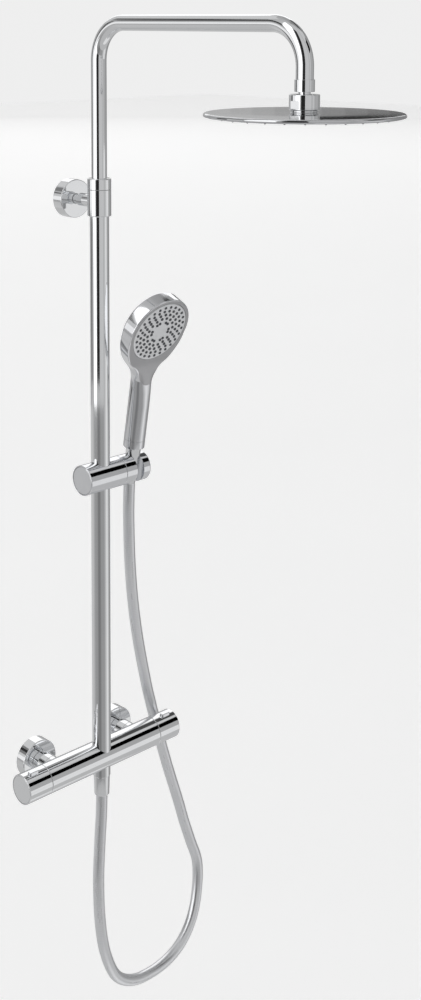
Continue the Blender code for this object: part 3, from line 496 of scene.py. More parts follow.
# Millimetres, heights counted from the mixer's own axis
mixer = {
    "half": 104.7, "radius": 21.5, "edge": 0.6, "sides": 128,
    "seam": 105.0, "end": 145.0, "skin": 2.0, "capThick": 2.0, "play": 0.3,
    "chamber": 16.3, "chamberDeep": 54.0, "bore": 6.0, "stem": 4.5, "hub": 7.5,
    "web": 3.0, "hubLong": 22.0, "past": 9.0,       # past: how far a cutter overshoots
    "legSpacing": 150.0, "legRadius": 16.0, "legFoot": -62.0, "legEnd": -44.0,
    "thread": 12.8, "threadEnd": -38.0, "boss": 13.0, "bossTop": -12.0, "bossDrop": -28.0,
    # radius of each waterway, and where it starts and ends
    "inletWay": (9.3, -24.0, -66.0), "riserWay": (9.0, 26.0, 4.0), "outletWay": (8.0, -4.0, -32.0),
    "tab": (15.6, 7.6, 3.0), "tabPlace": 17.0, "tabCorner": 2.2, "tabEdge": 0.9, "tabFoot": -5.0,
    "tabHole": (-7.0, 6.0), "flange": (1.0, 4.5, -6.0, -4.4),
}


def scaled(*corners):
    # (height, radius) or (height, radius, fillet), heights and radii given in millimetres
    return [(corner[0] * mm, corner[1] * mm) + tuple(corner[2:]) for corner in corners]


def toolTurned(corners, axis, centre, sides=96):
    return turned("tool", corners, axis, centre, sides)


def bored(piece, radius, first, last, axis, centre, sides=96):
    # cuts a plain round way, its two ends given along the axis in millimetres
    way = scaled((first, 0), (first, radius), (last, radius), (last, 0))
    return combine(piece, toolTurned(way, axis, centre, sides), "DIFFERENCE")


def makeMixerBody():
    m = mixer
    half, r = m["half"], m["radius"]
    body = turned("mixer_body_chromed", scaled((half, 0), (half, r, m["edge"]),
                                               (-half, r, m["edge"]), (-half, 0)),
                  "X", mixerCentre, m["sides"])
    for side in (-1, 1):
        at = Vector((side * m["legSpacing"] / 2 * mm, 0, mixerCentre.z))
        leg = toolTurned(scaled((m["threadEnd"], 0), (m["threadEnd"], m["thread"], 0.6),
                                (m["legEnd"], m["thread"]), (m["legEnd"], m["legRadius"], 0.4),
                                (m["legFoot"], m["legRadius"]), (m["legFoot"], 0)),
                         "Y", at, m["sides"])
        combine(body, leg, "UNION")
    foot = Vector((0, riserY, mixerCentre.z))
    boss = toolTurned(scaled((m["bossTop"], 0), (m["bossTop"], m["boss"]),
                             (m["bossDrop"], m["boss"], 0.5), (m["bossDrop"], 0)), "Z", foot)
    combine(body, boss, "UNION")
    inner, outer = half - m["chamberDeep"], half + m["past"]
    bore = toolTurned(scaled((outer, 0), (outer, m["chamber"]), (inner, m["chamber"]),
                             (inner, m["bore"]), (-inner, m["bore"]), (-inner, m["chamber"]),
                             (-outer, m["chamber"]), (-outer, 0)), "X", mixerCentre)
    combine(body, bore, "DIFFERENCE")
    for side in (-1, 1):
        at = Vector((side * m["legSpacing"] / 2 * mm, 0, mixerCentre.z))
        bored(body, *m["inletWay"], "Y", at, 48)
    bored(body, *m["riserWay"], "Z", foot, 48)
    bored(body, *m["outletWay"], "Z", foot, 48)
    finishPiece(body, chrome, "chrome", "fixed_column", "mixer_body")


def roundedBlock(name, length, width, low, high, corner, edge, centre, steps=6):
    # a block with rounded plan corners and a rounded top edge, sizes in millimetres
    levels = [(low, 0.0)]
    for k in range(steps + 1):
        angle = math.pi / 2 * k / steps
        levels.append((high - edge + edge * math.sin(angle), edge - edge * math.cos(angle)))
    points, faces = [], []
    count = 4 * (steps + 1)
    for height, inset in levels:
        hx, hy, rc = length / 2 - inset, width / 2 - inset, max(corner - inset, 0.2)
        for q, (sx, sy) in enumerate(((1, 1), (-1, 1), (-1, -1), (1, -1))):
            for k in range(steps + 1):
                angle = math.pi / 2 * (q + k / steps)
                points.append(Vector(centre) + mm * Vector((
                    sx * (hx - rc) + rc * math.cos(angle),
                    sy * (hy - rc) + rc * math.sin(angle), height)))
    for i in range(len(levels) - 1):
        for k in range(count):
            n = (k + 1) % count
            faces.append((i * count + k, i * count + n, (i + 1) * count + n, (i + 1) * count + k))
    faces.append(tuple(range(count)))
    faces.append(tuple(range((len(levels) - 1) * count, len(levels) * count)))
    return linked(name, meshFrom(name, points, faces))


def makeHandle(side, word):
    # hollow turning sleeve with its hub, end cap and sprung stop button
    m = mixer
    r, end, seam, play = m["radius"], m["end"], m["seam"], m["play"]
    skin = r - m["skin"]
    web = end - m["capThick"] - play
    axis = (side, 0, 0)
    shell = turned(f"{word}_handle_chromed", scaled(
        (end, skin + play), (end, r, 0.7), (seam, r, 0.6), (seam, skin), (web - m["web"], skin),
        (web - m["web"], m["hub"]), (web - m["hubLong"], m["hub"]),
        (web - m["hubLong"], m["stem"] + play), (web, m["stem"] + play), (web, skin + play)),
        axis, mixerCentre, m["sides"], hollow=True)
    length, width, rise = m["tab"]
    at = Vector((side * (end - m["tabPlace"]) * mm, riserY, mixerCentre.z + r * mm))
    hole = roundedBlock("tool", length + 2 * play, width + 2 * play, *m["tabHole"],
                        m["tabCorner"] + play, 0.1, at)
    combine(shell, hole, "DIFFERENCE")
    finishPiece(shell, chrome, "chrome", f"{word}_handle", f"{word}_handle")
    cap = turned(f"{word}_handle_end_cap", scaled(
        (end - m["capThick"], 0), (end - m["capThick"], skin), (end, skin, 0.35), (end, 0)),
        axis, mixerCentre, m["sides"])
    finishPiece(cap, chrome, "chrome", f"{word}_handle", f"{word}_handle_cap")
    tab = roundedBlock(f"{word}_stop_button_raised", length, width, m["tabFoot"], rise,
                       m["tabCorner"], m["tabEdge"], at)
    beyond, deep, low, high = m["flange"]
    flange = blockOf("tool", at + mm * Vector((-length / 2 - beyond, -deep, low)),
                     at + mm * Vector((length / 2 + beyond, deep, high)))
    combine(tab, flange, "UNION")
    finishPiece(tab, chromedAbs, "chrome", f"{word}_button", f"{word}_stop_button")


inletFitting = {
    "rosette": (30.0, 17.7), "wall": 1.6, "union": 13.5, "unionEnd": -28.0, "way": 7.5,
    "nut": (16.0, -28.3, -43.7), "collar": -35.6, "collarThick": 3.0, "collarRadius": 11.4,
    "tail": (10.4, 16.0, -2.0), "spigot": 9.8, "nutWay": 10.2, "nutThread": 13.2, "play": 0.3,
}


def makeInlet(side, word):
    # wall rosette, eccentric union and union nut of one supply
    f = inletFitting
    at = Vector((side * mixer["legSpacing"] / 2 * mm, 0, mixerCentre.z))
    r, deep = f["rosette"]
    rosette = turned(f"inlet_rosette_{word}_chromed", scaled(
        (0, r - f["wall"]), (0, r, 0.3), (-deep, r, 1.3), (-deep, f["union"] + f["play"], 0.4),
        (-deep + f["wall"], f["union"] + f["play"]), (-deep + f["wall"], r - f["wall"])),
        "Y", at, 128, hollow=True)
    finishPiece(rosette, chrome, "chrome", "fixed_column", f"inlet_rosette_{word}")
    tail, tailEnd, tailStart = f["tail"]
    behind = f["collar"] + f["collarThick"]
    union = turned(f"eccentric_union_{word}_turned", scaled(
        (tailEnd, f["way"]), (tailEnd, tail, 0.5), (tailStart, tail), (tailStart, f["union"], 0.5),
        (f["unionEnd"], f["union"], 0.6), (f["unionEnd"], f["spigot"]), (behind, f["spigot"]),
        (behind, f["collarRadius"], 0.2), (f["collar"], f["collarRadius"], 0.3),
        (f["collar"], f["way"])),
        "Y", at, 96, hollow=True)
    finishPiece(union, chrome, "chrome", "fixed_column", f"eccentric_union_{word}")
    nutR, back, front = f["nut"]
    shoulder = behind + f["play"]
    nut = turned(f"union_nut_{word}_chromed", scaled(
        (back, f["nutWay"], 0.3), (back, nutR, 0.7), (front, nutR, 0.4),
        (front, f["nutThread"], 0.3), (shoulder, f["nutThread"]), (shoulder, f["nutWay"])),
        "Y", at, 128, hollow=True)
    finishPiece(nut, chrome, "chrome", "fixed_column", f"union_nut_{word}")


makeMixerBody()
for side, word in ((-1, "temperature"), (1, "flow")):
    makeHandle(side, word)
for side, word in ((-1, "left"), (1, "right")):
    makeInlet(side, word)
print("mixer made")


# Hose nut, riser and wall bracket, in millimetres
column = {
    "riser": 13.8, "riserIn": 12.6, "riserTop": 10.0, "saddle": 21.8,
    "hoseNut": (12.1, 11.2, -28.3, -58.3), "nutThread": (10.1, -42.7), "nutWay": 6.0,
    "nutMouth": (8.9, 8.7, 4.0), "bore": 14.1, "past": 50.0,
    "rosette": (28.0, 18.9), "rosetteWall": 1.6, "stem": 7.0, "neck": 9.3, "neckStart": -29.0,
    "sleeve": 17.0, "sleeveLow": -20.0, "sleeveTop": 18.0, "ring": (18.3, 34.0), "lid": 31.0,
    "stemStart": -13.3, "stemEnd": -60.0, "arm": 11.0, "play": 0.3,
    "screwWay": (3.3, 0.0, -41.5), "grubWay": (2.2, 0.0, -20.0), "grubPlace": -36.0,
}


def makeColumn():
    c = column
    foot = Vector((0, riserY, mixerCentre.z))
    top = Vector((0, riserY, bracketCentre.z))
    r, low, high, end = c["hoseNut"]
    thread, seat = c["nutThread"]
    mouth, mouthInner, mouthDeep = c["nutMouth"]
    nut = turned("hose_nut_chromed", scaled(
        (high, thread, 0.2), (high, r, 0.5), (end, low, 1.5), (end, mouth, 0.3),
        (end + mouthDeep, mouthInner), (end + mouthDeep, c["nutWay"]), (seat, c["nutWay"]),
        (seat, thread)), "Z", foot, 96, hollow=True)
    finishPiece(nut, chrome, "chrome", "fixed_column", "hose_nut")
    depth = mixerCentre.z / mm - top.z / mm
    tube = turned("riser_tube_chromed", scaled(
        (c["riserTop"], c["riserIn"]), (c["riserTop"], c["riser"], 0.3), (depth, c["riser"]),
        (depth, c["riserIn"])), "Z", top, 128, hollow=True)
    bored(tube, c["saddle"], c["past"], -c["past"], "X", mixerCentre, 128)
    finishPiece(tube, chrome, "chrome", "fixed_column", "riser_tube")
    wall = Vector((0, 0, top.z))
    r, deep = c["rosette"]
    rosette = turned("bracket_rosette_chromed", scaled(
        (-c["play"], r - c["rosetteWall"]), (-c["play"], r, 0.3), (-deep, r, 1.3),
        (-deep, c["stem"] + c["play"], 0.5), (-deep + c["rosetteWall"], c["stem"] + c["play"]),
        (-deep + c["rosetteWall"], r - c["rosetteWall"])), "Y", wall, 128, hollow=True)
    finishPiece(rosette, chrome, "chrome", "fixed_column", "bracket_rosette")
    sleeve = turned("bracket_arm_chromed", scaled(
        (c["sleeveTop"], 0), (c["sleeveTop"], c["sleeve"], 0.4),
        (c["sleeveLow"], c["sleeve"], 1.6), (c["sleeveLow"], 0)), "Z", top, 128)
    stem = toolTurned(scaled((c["stemStart"], 0), (c["stemStart"], c["stem"]),
                             (c["neckStart"], c["stem"]), (c["neckStart"], c["neck"], 0.8),
                             (c["stemEnd"], c["neck"]), (c["stemEnd"], 0)), "Y", wall, 96)
    combine(sleeve, stem, "UNION")
    bored(sleeve, c["bore"], -c["stemEnd"], c["stemEnd"], "Z", top, 128)
    bored(sleeve, *c["screwWay"], "Y", wall, 32)
    grub = Vector((0, c["grubPlace"] * mm, top.z))
    bored(sleeve, *c["grubWay"], "Z", grub, 32)
    finishPiece(sleeve, chrome, "chrome", "fixed_column", "bracket_arm")
    low, high = c["ring"]
    ring = turned("locking_ring_chromed", scaled(
        (low, c["riser"] + c["play"]), (low, c["sleeve"], 0.5), (high, c["sleeve"], 1.6),
        (high, c["arm"] + c["play"], 0.4), (c["lid"], c["arm"] + c["play"]),
        (c["lid"], c["riser"] + c["play"])), "Z", top, 128, hollow=True)
    finishPiece(ring, chrome, "chrome", "locking_ring", "locking_ring")
    return nut


hoseNut = makeColumn()
print("riser and bracket made")


# Arm and overhead shower, in millimetres, heights from the row frame's origin
overhead = {
    "armHeight": 252.0, "bend": 52.0, "armTail": -155.0, "armEnd": 170.3, "armWall": 1.0,
    "collar": (170.0, 185.0, 12.4), "ballZ": 157.0, "ball": 11.0, "neck": 7.4, "plug": 9.7,
    "nut": (148.5, 167.0, 18.7), "chamber": 14.2, "lip": 9.8,
    "radius": 122.5, "top": 145.4, "fall": 0.8, "thick": 6.2, "sheet": 1.2, "hub": (148.2, 16.3),
    "plate": (139.2, 141.2), "mat": (141.5, 142.5, 110.5), "rimSides": 256,
    "rings": ((112, 30), (96, 26), (80, 20), (64, 16), (48, 12), (32, 8), (16, 4)),
    "nozzle": (1.4, 0.85, 1.3), "nozzleHole": 1.7, "past": 2.0,
    "bendSteps": 32, "straight": 8.0,
    "stem": (3.5, 192.0, 172.0), "ballCut": (8.14, -9.2), "ballSteps": 24,
    "flat": (0.8, 6.2, (2.0, 15.0, 5.0)),       # the nut's two spanner flats
    "rimSteps": 12, "rimTurn": 9.375,           # degrees turned at each step of the rim
    "dome": (60.0, 118.0, 6), "skirt": 1.0,
}


def repeatedTurned(name, corners, places, axis, sides, steps=3):
    # the same small turned form repeated at many places in one mesh
    points, faces = [], []
    for place in places:
        some, joined = turnedPoints(corners, False, sides, axisMatrix(axis, place), steps)
        start = len(points)
        points += some
        faces += [tuple(start + k for k in face) for face in joined]
    return linked(name, meshFrom(name, points, faces))


def makeArm():
    o = overhead
    y0, y1 = riserY / mm, headCentre.y / mm
    z = o["armHeight"] - o["bend"]
    path = [(0, y0, o["armTail"]), (0, y0, 0), (0, y0, z - o["straight"])]
    for start, middle in ((0, y0 - o["bend"]), (90, y1 + o["bend"])):
        for k in range(o["bendSteps"] + 1):
            angle = math.radians(start + 90 * k / o["bendSteps"])
            path.append((0, middle + o["bend"] * math.cos(angle), z + o["bend"] * math.sin(angle)))
    path.append((0, y1, o["armEnd"]))
    tube = sweptTube("arm_tube_chromed", ringsAlong([Vector(point) * mm for point in path]),
                     column["arm"] * mm, 96, inner=(column["arm"] - o["armWall"]) * mm)
    finishPiece(tube, chrome, "chrome", "shower_arm", "arm_tube")
    low, high, r = o["collar"]
    inner = column["arm"] + column["play"]
    collar = turned("arm_collar_chromed", scaled((low, inner), (low, r, 0.4), (high, r, 0.5),
                                                 (high, inner)), "Z", headCentre, 96, hollow=True)
    finishPiece(collar, chrome, "chrome", "shower_arm", "arm_collar")
    ball = []
    high, low = o["ballCut"]
    for k in range(o["ballSteps"] + 1):
        height = high + (low - high) * k / o["ballSteps"]
        ball.append((o["ballZ"] + height, math.sqrt(o["ball"] ** 2 - height ** 2)))
    way, plugTop, plugEnd = o["stem"]
    stem = turned("ball_stem_chromed", scaled(
        (plugTop, way), (plugTop, o["plug"], 0.4), (plugEnd, o["plug"], 0.3),
        (plugEnd, o["neck"]), *ball, (o["ballZ"] + low, way)), "Z", headCentre, 64, hollow=True)
    finishPiece(stem, chrome, "chrome", "shower_arm", "ball_stem")


def makeHead():
    o = overhead
    low, high, r = o["nut"]
    nut = turned("ball_nut_chromed", scaled(
        (low, o["chamber"]), (low, r, 0.9), (high, r, 0.9), (high, o["lip"], 0.4),
        (high - 3, o["lip"]), (high - 3, o["chamber"])), "Z", headCentre, 128, hollow=True)
    out, up, half = o["flat"]
    for side in (-1, 1):
        middle = headCentre + mm * Vector((side * (r + out), 0, low + up))
        combine(nut, blockOf("tool", middle - mm * Vector(half), middle + mm * Vector(half), 0.4),
                "DIFFERENCE")
    finishPiece(nut, chrome, "chrome", "overhead_shower", "ball_nut")
    rim = (o["thick"] - o["fall"]) / 2
    edge = []
    for k in range(o["rimSteps"] + 1):
        angle = math.radians(90 - o["rimTurn"] * k)
        edge.append((o["top"] - o["fall"] - rim + rim * math.sin(angle),
                     o["radius"] - rim + rim * math.cos(angle)))
    first, last, steps = o["dome"]
    dome = [(o["top"] - o["fall"] * (k / steps) ** 2, first + (last - first) * k / steps)
            for k in range(steps)]
    bottom = o["top"] - o["thick"] + o["skirt"]
    shell = turned("overhead_top_shell_polished", scaled(
        (o["hub"][0], o["chamber"], 0.2), (o["hub"][0], o["hub"][1], 0.5),
        (o["top"], o["hub"][1], 0.6), *dome, *edge, (bottom, o["radius"] - 0.6),
        (bottom, o["radius"] - 1.8),
        (o["top"] - o["sheet"], o["radius"] - 3), (o["top"] - o["sheet"], o["chamber"])),
        "Z", headCentre, o["rimSides"], hollow=True)
    finishPiece(shell, steelSheet, "chrome", "overhead_shower", "head_top_shell")
    places = []
    for ringR, count in o["rings"]:
        for k in range(count):
            angle = 2 * math.pi * (k + 0.5 * (count // 2 % 2)) / count
            places.append(headCentre + mm * Vector((ringR * math.cos(angle),
                                                    ringR * math.sin(angle), 0)))
    low, high = o["plate"]
    plate = turned("overhead_spray_plate_polished", scaled(
        (high, 0), (high, o["radius"] - 3.0, 0.3), (low + 0.8, o["radius"] - 2.4, 0.4),
        (low, o["radius"] - 4.0, 0.6), (low, 0)), "Z", headCentre, o["rimSides"])
    above, below = high + o["past"], low - o["past"]
    holes = repeatedTurned("tool", scaled((above, 0), (above, o["nozzleHole"]),
                                          (below, o["nozzleHole"]), (below, 0)), places, "Z", 16)
    combine(plate, holes, "DIFFERENCE")
    finishPiece(plate, steelSheet, "chrome", "overhead_shower", "head_spray_plate")
    base, tip, reach = o["nozzle"]
    matLow, matHigh, matR = o["mat"]
    mat = repeatedTurned("overhead_nozzles_silicone", scaled(
        (matLow + 0.1, 0), (matLow + 0.1, base), (low + 0.2, base, 0.2), (low - reach, tip, 0.4),
        (low - reach, 0.4), (low - reach + 0.8, 0)), places, "Z", 16)
    sheet = turned("tool", scaled((matHigh, 0), (matHigh, matR, 0.3), (matLow, matR, 0.3),
                                  (matLow, 0)), "Z", headCentre, 96)
    bpy.context.view_layer.update()
    joined = bmesh.new()
    joined.from_mesh(mat.data)
    joined.from_mesh(sheet.data)
    joined.to_mesh(mat.data)
    joined.free()
    bpy.data.objects.remove(sheet, do_unlink=True)
    finishPiece(mat, silicone, "rubber", "overhead_shower", "head_nozzle_mat")


makeArm()
makeHead()
print("arm and overhead shower made")


# The holder and the handset lean together on the slider's axis
handsetTilt = math.atan2(-handsetAxis.y, handsetAxis.z)
holderMatrix = Matrix.Translation(sliderCentre) @ Matrix.Rotation(handsetTilt, 4, "X")
holderHole = handsetFoot.x
handsetMatrix = holderMatrix @ Matrix.Translation((holderHole, 0, 0))

slider = {
    "left": -34.5, "right": 33.0, "radius": 22.0, "chamber": 18.0, "button": 20.1,
    "recess": -29.4, "inner": 27.0, "axle": 4.3, "bore": 14.1,
    "holder": (33.3, 80.0), "holderEdge": 2.6, "slot": 13.0, "socket": 45.6,
    "hole": (10.07, 0.0487),    # radius at the slider's height, and how fast it opens upwards
    "past": 50.0, "pin": 5.0, "buttonBack": -32.7, "buttonFace": -34.2, "holeHalf": 26.0,
    "slotHalf": 30.0,
}


def makeSlider():
    s = slider
    body = turned("slider_body_chromed", scaled(
        (s["right"], s["axle"]), (s["right"], s["radius"], 0.6), (s["left"], s["radius"], 0.8),
        (s["left"], s["button"] + 0.3, 0.3), (s["recess"], s["button"] + 0.3),
        (s["recess"], s["chamber"]), (s["inner"], s["chamber"]), (s["inner"], s["axle"])),
        "X", sliderCentre, 128, hollow=True)
    bored(body, s["bore"], s["past"], -s["past"], "Z", sliderCentre, 128)
    finishPiece(body, chromedAbs, "chromed_abs", "slider", "slider_body")
    button = turned("release_button_chromed", scaled(
        (s["recess"], 0), (s["recess"], s["pin"]), (s["buttonBack"], s["pin"]),
        (s["buttonBack"], s["button"], 0.2), (s["buttonFace"], s["button"], 0.6),
        (s["buttonFace"], 0)), "X", sliderCentre, 128)
    finishPiece(button, chromedAbs, "chromed_abs", "release_button", "release_button")
    low, high = s["holder"]
    body = turned("handset_holder_chromed", scaled(
        (low, 0), (low, s["radius"], 0.6), (high, s["radius"], s["holderEdge"]), (high, 0)),
        "X", (0, 0, 0), 128)
    bored(body, s["axle"], low - 2, s["socket"], "X", (0, 0, 0), 32)
    middle, slope = s["hole"]
    top, reach = s["holeHalf"], s["slotHalf"]
    at = Vector((holderHole, 0, 0))
    combine(body, toolTurned(scaled((top, 0), (top, middle + slope * top),
                                    (-top, middle - slope * top), (-top, 0)), "Z", at),
            "DIFFERENCE")
    combine(body, blockOf("tool", at + mm * Vector((-s["slot"] / 2, -reach, -reach)),
                          at + mm * Vector((s["slot"] / 2, 0, reach))), "DIFFERENCE")
    body.data.transform(holderMatrix)
    finishPiece(body, chromedAbs, "chromed_abs", "handset_holder", "handset_holder")


makeSlider()
print("slider and holder made")


handset = {
    # flat outline (distance along the handle, half width), then a circle, before the head is bent
    "outline": ((46.8, 15.8), (60, 15.8), (80, 15.8), (100, 15.8), (120, 15.8), (132, 15.8),
                (142, 16.1), (148, 17.2), (153, 19.0), (157.5, 21.6), (162, 25.2), (166.5, 29.7),
                (171, 34.0), (175.5, 37.8), (180, 41.0), (185, 43.9), (190, 46.4), (196, 48.9),
                (203, 51.0), (210, 52.2)),
    "disc": (226.2, 53.5),
    "front": ((46.8, 15.8), (100, 15.8), (120, 14.5), (134, 12.5), (150, 11.25), (290, 11.25)),
    "back": ((46.8, 15.8), (142, 15.8), (156, 14.6), (170, 12.6), (184, 11.25), (290, 11.25)),
    "frontEdge": ((46.8, 15.8), (100, 15.8), (120, 14.4), (142, 11.5), (153, 6.0), (162, 3.0),
                  (171, 1.8), (290, 1.6)),
    "backEdge": ((46.8, 15.8), (142, 15.8), (153, 13.0), (162, 10.0), (171, 7.0), (180, 4.5),
                 (290, 2.5)),
    "bendFrom": 158.0, "bendTo": 182.0, "bend": 15.5,
    "plate": ((210, 50.5), (203, 49.3), (196, 47.2), (190, 44.8), (185, 42.4), (180, 39.5),
              (175.5, 36.7), (171, 33.0), (166.5, 27.4), (162, 21.4), (157.5, 18.1),
              (153, 16.1), (147, 13.6), (142, 11.8), (138, 9.2), (135.4, 5.6), (134.5, 2.6)),
    "plateTip": 134.3, "plateRadius": 52.0, "plateProud": 0.5, "plateEdge": 0.7,
    # where each outline meets its circle (distance, half width), and the steps round to the top
    "join": (216.0, 52.6, 10), "plateJoin": (216.0, 51.0, 12), "headFrom": 215.0,
    # the middle line that the shell's rows start from moves up into the head
    "spine": (150.0, 50.0, 0.8),
    "shellShares": (0.0, 0.3, 0.55, 0.72, 0.82, 0.89, 0.94, 0.97, 0.985, 0.995, 1.0),
    "plateShares": (0.0, 0.0, 0.006, 0.015, 0.03, 0.06, 0.12, 0.25, 0.4, 0.55, 0.7, 0.82, 0.9,
                    0.96, 0.985, 1.0, 1.0),
    # the plate flattens over the first two and leaves the handle's curve at the third
    "plateFlat": (150.0, 24.0, 178.0), "plateGap": (0.4, 0.8), "plateSunk": -1.4,
    "bowl": ((12, 0), (12, 52.2), (-7, 52.2), (-16.5, 43.5), (-16.5, 0)),
    "duct": ((40, 0), (40, 12.3), (160, 12.3), (175, 9), (175, 0)),
    "faceRadius": 47.2, "play": 0.3, "faceThick": 3.0,
    # raised rim of the spray disc, and the two grooves between its rings of nozzles
    "discRelief": ((1.0, 44.6, 0.4), (0.7, 31.2), (0.5, 30.8, 0.2), (0.5, 30.2, 0.2), (0.7, 29.8),
                   (0.8, 11.4), (0.6, 11.0, 0.2), (0.6, 10.6, 0.2), (0.8, 10.2), (0.8, 0)),
    "nub": ((-0.6, 0), (-0.6, 2.3), (1.0, 2.3, 0.3), (1.7, 1.9, 0.4), (1.7, 0.7, 0.1), (1.1, 0.6),
            (1.1, 0)),
    "endSleeve": ((58.5, 5.5), (58.5, 12.0, 0.3), (46.5, 12.0), (46.5, 15.8, 0.3),
                  (33.8, 15.8, 1.2), (33.8, 9.2), (23.5, 9.2), (23.5, 5.5)),
    "coneNut": ((33.5, 9.5), (33.5, 11.4, 0.6), (-24.0, 8.6, 0.4), (-24.0, 5.0), (21.1, 5.0),
                (21.1, 9.5)),
    # radius, how many, and the share of a step that the ring is turned
    "nozzleRings": ((42.0, 26, 0), (35.6, 24, 0.5), (29.2, 20, 0), (22.8, 16, 0.5),
                    (15.8, 6, -0.15), (15.8, 6, 0.15)),
}


def along(table, at):
    return float(np.interp(at, [row[0] for row in table], [row[1] for row in table]))


def bentPoint(x, s, t):
    # from the flat handset, in millimetres, to the handset's own axes in metres
    first, last = handset["bendFrom"], handset["bendTo"]
    full = math.radians(handset["bend"])
    forward, up = 0.0, min(s, first)
    angle = 0.0
    if s > first:
        steps = 24
        reach = min(s, last) - first
        for k in range(steps):
            share = (k + 0.5) / steps * reach / (last - first)
            angle = full * share * share * (3 - 2 * share)
            forward += math.sin(angle) * reach / steps
            up += math.cos(angle) * reach / steps
        share = reach / (last - first)
        angle = full * share * share * (3 - 2 * share)
    if s > last:
        angle = full
        forward += math.sin(full) * (s - last)
        up += math.cos(full) * (s - last)
    forward += t * math.cos(angle)
    up -= t * math.sin(angle)
    return Vector((x, -forward, up)) * mm


def smoothLine(points, step):
    # evenly spaced points of a smooth curve through the given flat points
    fine, _ = smoothRoute([(a * mm, b * mm, 0) for a, b in points], step)
    return [(point.x / mm, point.y / mm) for point in fine]


def closingArc(join, radius):
    # from where an outline meets its circle round to the top of the head, as (x, s)
    centre = handset["disc"][0]
    at, width, steps = join
    first = math.atan2(width, at - centre)
    rows = []
    for k in range(steps + 1):
        angle = first - first * k / steps
        rows.append((radius * math.sin(angle), centre + radius * math.cos(angle)))
    rows[-1] = (0.0, centre + radius)
    return rows


def outlineHalf():
    # right half of the outline from the foot to the top, as (x, s)
    rows = [(width, s) for s, width in handset["outline"]]
    return smoothLine(rows + closingArc(handset["join"], handset["disc"][1]), 2.2)


def domed(top, edge, depth):
    # height of a face that rounds down at its edge, at a depth in from that edge
    if depth >= edge:
        return top
    return top - edge + math.sqrt(max(edge ** 2 - (edge - max(depth, 0)) ** 2, 0))


def shellFront(x, s, half):
    # height of the shell's front at a point, where half is the outline's half width there
    return domed(along(handset["front"], s), along(handset["frontEdge"], s), half - abs(x))


def makeShell():
    h = handset
    right = outlineHalf()
    right[-1] = (0.0, right[-1][1])
    outline = right + [(-x, s) for x, s in reversed(right[:-1])]
    centre = h["disc"][0]
    first, span, power = h["spine"]
    points, faces = [], []
    for x, s in outline:
        spine = s
        if s > first:
            spine = first + (centre - first) * min((s - first) / span, 1.0) ** power
        if s > first + span:
            spine = centre
        reach = math.hypot(x, s - spine)
        sides = []
        for sign, surface, table in ((1, "front", "frontEdge"), (-1, "back", "backEdge")):
            side = []
            for share in h["shellShares"]:
                px, ps = x * share, spine + (s - spine) * share
                top = along(h[surface], ps)
                lift = domed(top, min(along(h[table], ps), top), reach * (1 - share))
                side.append(bentPoint(px, ps, sign * lift))
            sides.append(side)
        points += sides[0] + list(reversed(sides[1]))
    rows, columns = len(outline), 2 * len(h["shellShares"])
    for i in range(rows - 1):
        for k in range(columns - 1):
            here, after = i * columns + k, (i + 1) * columns + k
            faces.append((here, after, after + 1, here + 1))
    foot = list(range(columns - 1)) + [(rows - 1) * columns + k for k in range(columns - 1, 0, -1)]
    faces.append(tuple(foot))
    return linked("handset_shell_chromed", meshFrom("handset_shell_chromed", points, faces))


faceJoint = jointNamed("spray_disc_turn")
faceAxis = Vector(faceJoint["axis"])
facePlace = Vector(faceJoint["pos_m"])


def cutShell():
    # the shell with the bowl behind its spray disc and the water way in its handle
    shell = makeShell()
    shell.data.transform(handsetMatrix)
    combine(shell, toolTurned(scaled(*handset["bowl"]), faceAxis, facePlace, 160), "DIFFERENCE")
    duct = toolTurned(scaled(*handset["duct"]), "Z", (0, 0, 0), 64)
    duct.data.transform(handsetMatrix)
    combine(shell, duct, "DIFFERENCE")
    finishPiece(shell, chromedAbs, "chromed_abs", "handset", "handset_shell")


def makeFacePlate():
    # from its outline in to the round opening of the spray disc
    h = handset
    centre = h["disc"][0]
    inner = h["faceRadius"] + h["play"]
    edge = [(0.0, h["plateTip"])] + [(w, s) for s, w in reversed(h["plate"])]
    right = smoothLine(edge + closingArc(h["plateJoin"], h["plateRadius"]), 1.6)
    right[0], right[-1] = (0.0, h["plateTip"]), (0.0, centre + h["plateRadius"])
    outline = right + [(-x, s) for x, s in reversed(right[1:-1])]
    half = [(s, x) for x, s in outlineHalf() if s < h["headFrom"]]
    flatFrom, flatSpan, curveEnd = h["plateFlat"]
    gap, fall = h["plateGap"]
    shares = h["plateShares"]
    points, faces = [], []
    for x, s in outline:
        reach = math.hypot(x, s - centre)
        innerX, innerS = x / reach * inner, centre + (s - centre) / reach * inner
        for k, share in enumerate(shares):
            px, ps = x + (innerX - x) * share, s + (innerS - s) * share
            level = along(h["front"], ps)
            front = shellFront(px, ps, along(half, ps)) if ps < curveEnd else level
            front = front + (level - front) * min(max((ps - flatFrom) / flatSpan, 0), 1)
            depth = min(share * (reach - inner), h["plateEdge"])
            proud = h["plateProud"] - h["plateEdge"] * (1 - math.sqrt(
                max(1 - ((h["plateEdge"] - depth) / h["plateEdge"]) ** 2, 0)))
            proud -= (gap - min((1 - share) * (reach - inner), gap)) * fall
            if k == 0 or k == len(shares) - 1:
                proud = h["plateSunk"]
            points.append(bentPoint(px, ps, front + proud))
    rows, columns = len(outline), len(shares)
    for i in range(rows):
        n = (i + 1) % rows
        for k in range(columns):
            m = (k + 1) % columns
            faces.append((i * columns + k, n * columns + k, n * columns + m, i * columns + m))
    plate = linked("handset_face_plate_satin", meshFrom("handset_face_plate_satin", points, faces))
    plate.data.transform(handsetMatrix)
    finishPiece(plate, facePlate, "grey_face", "handset", "handset_face")


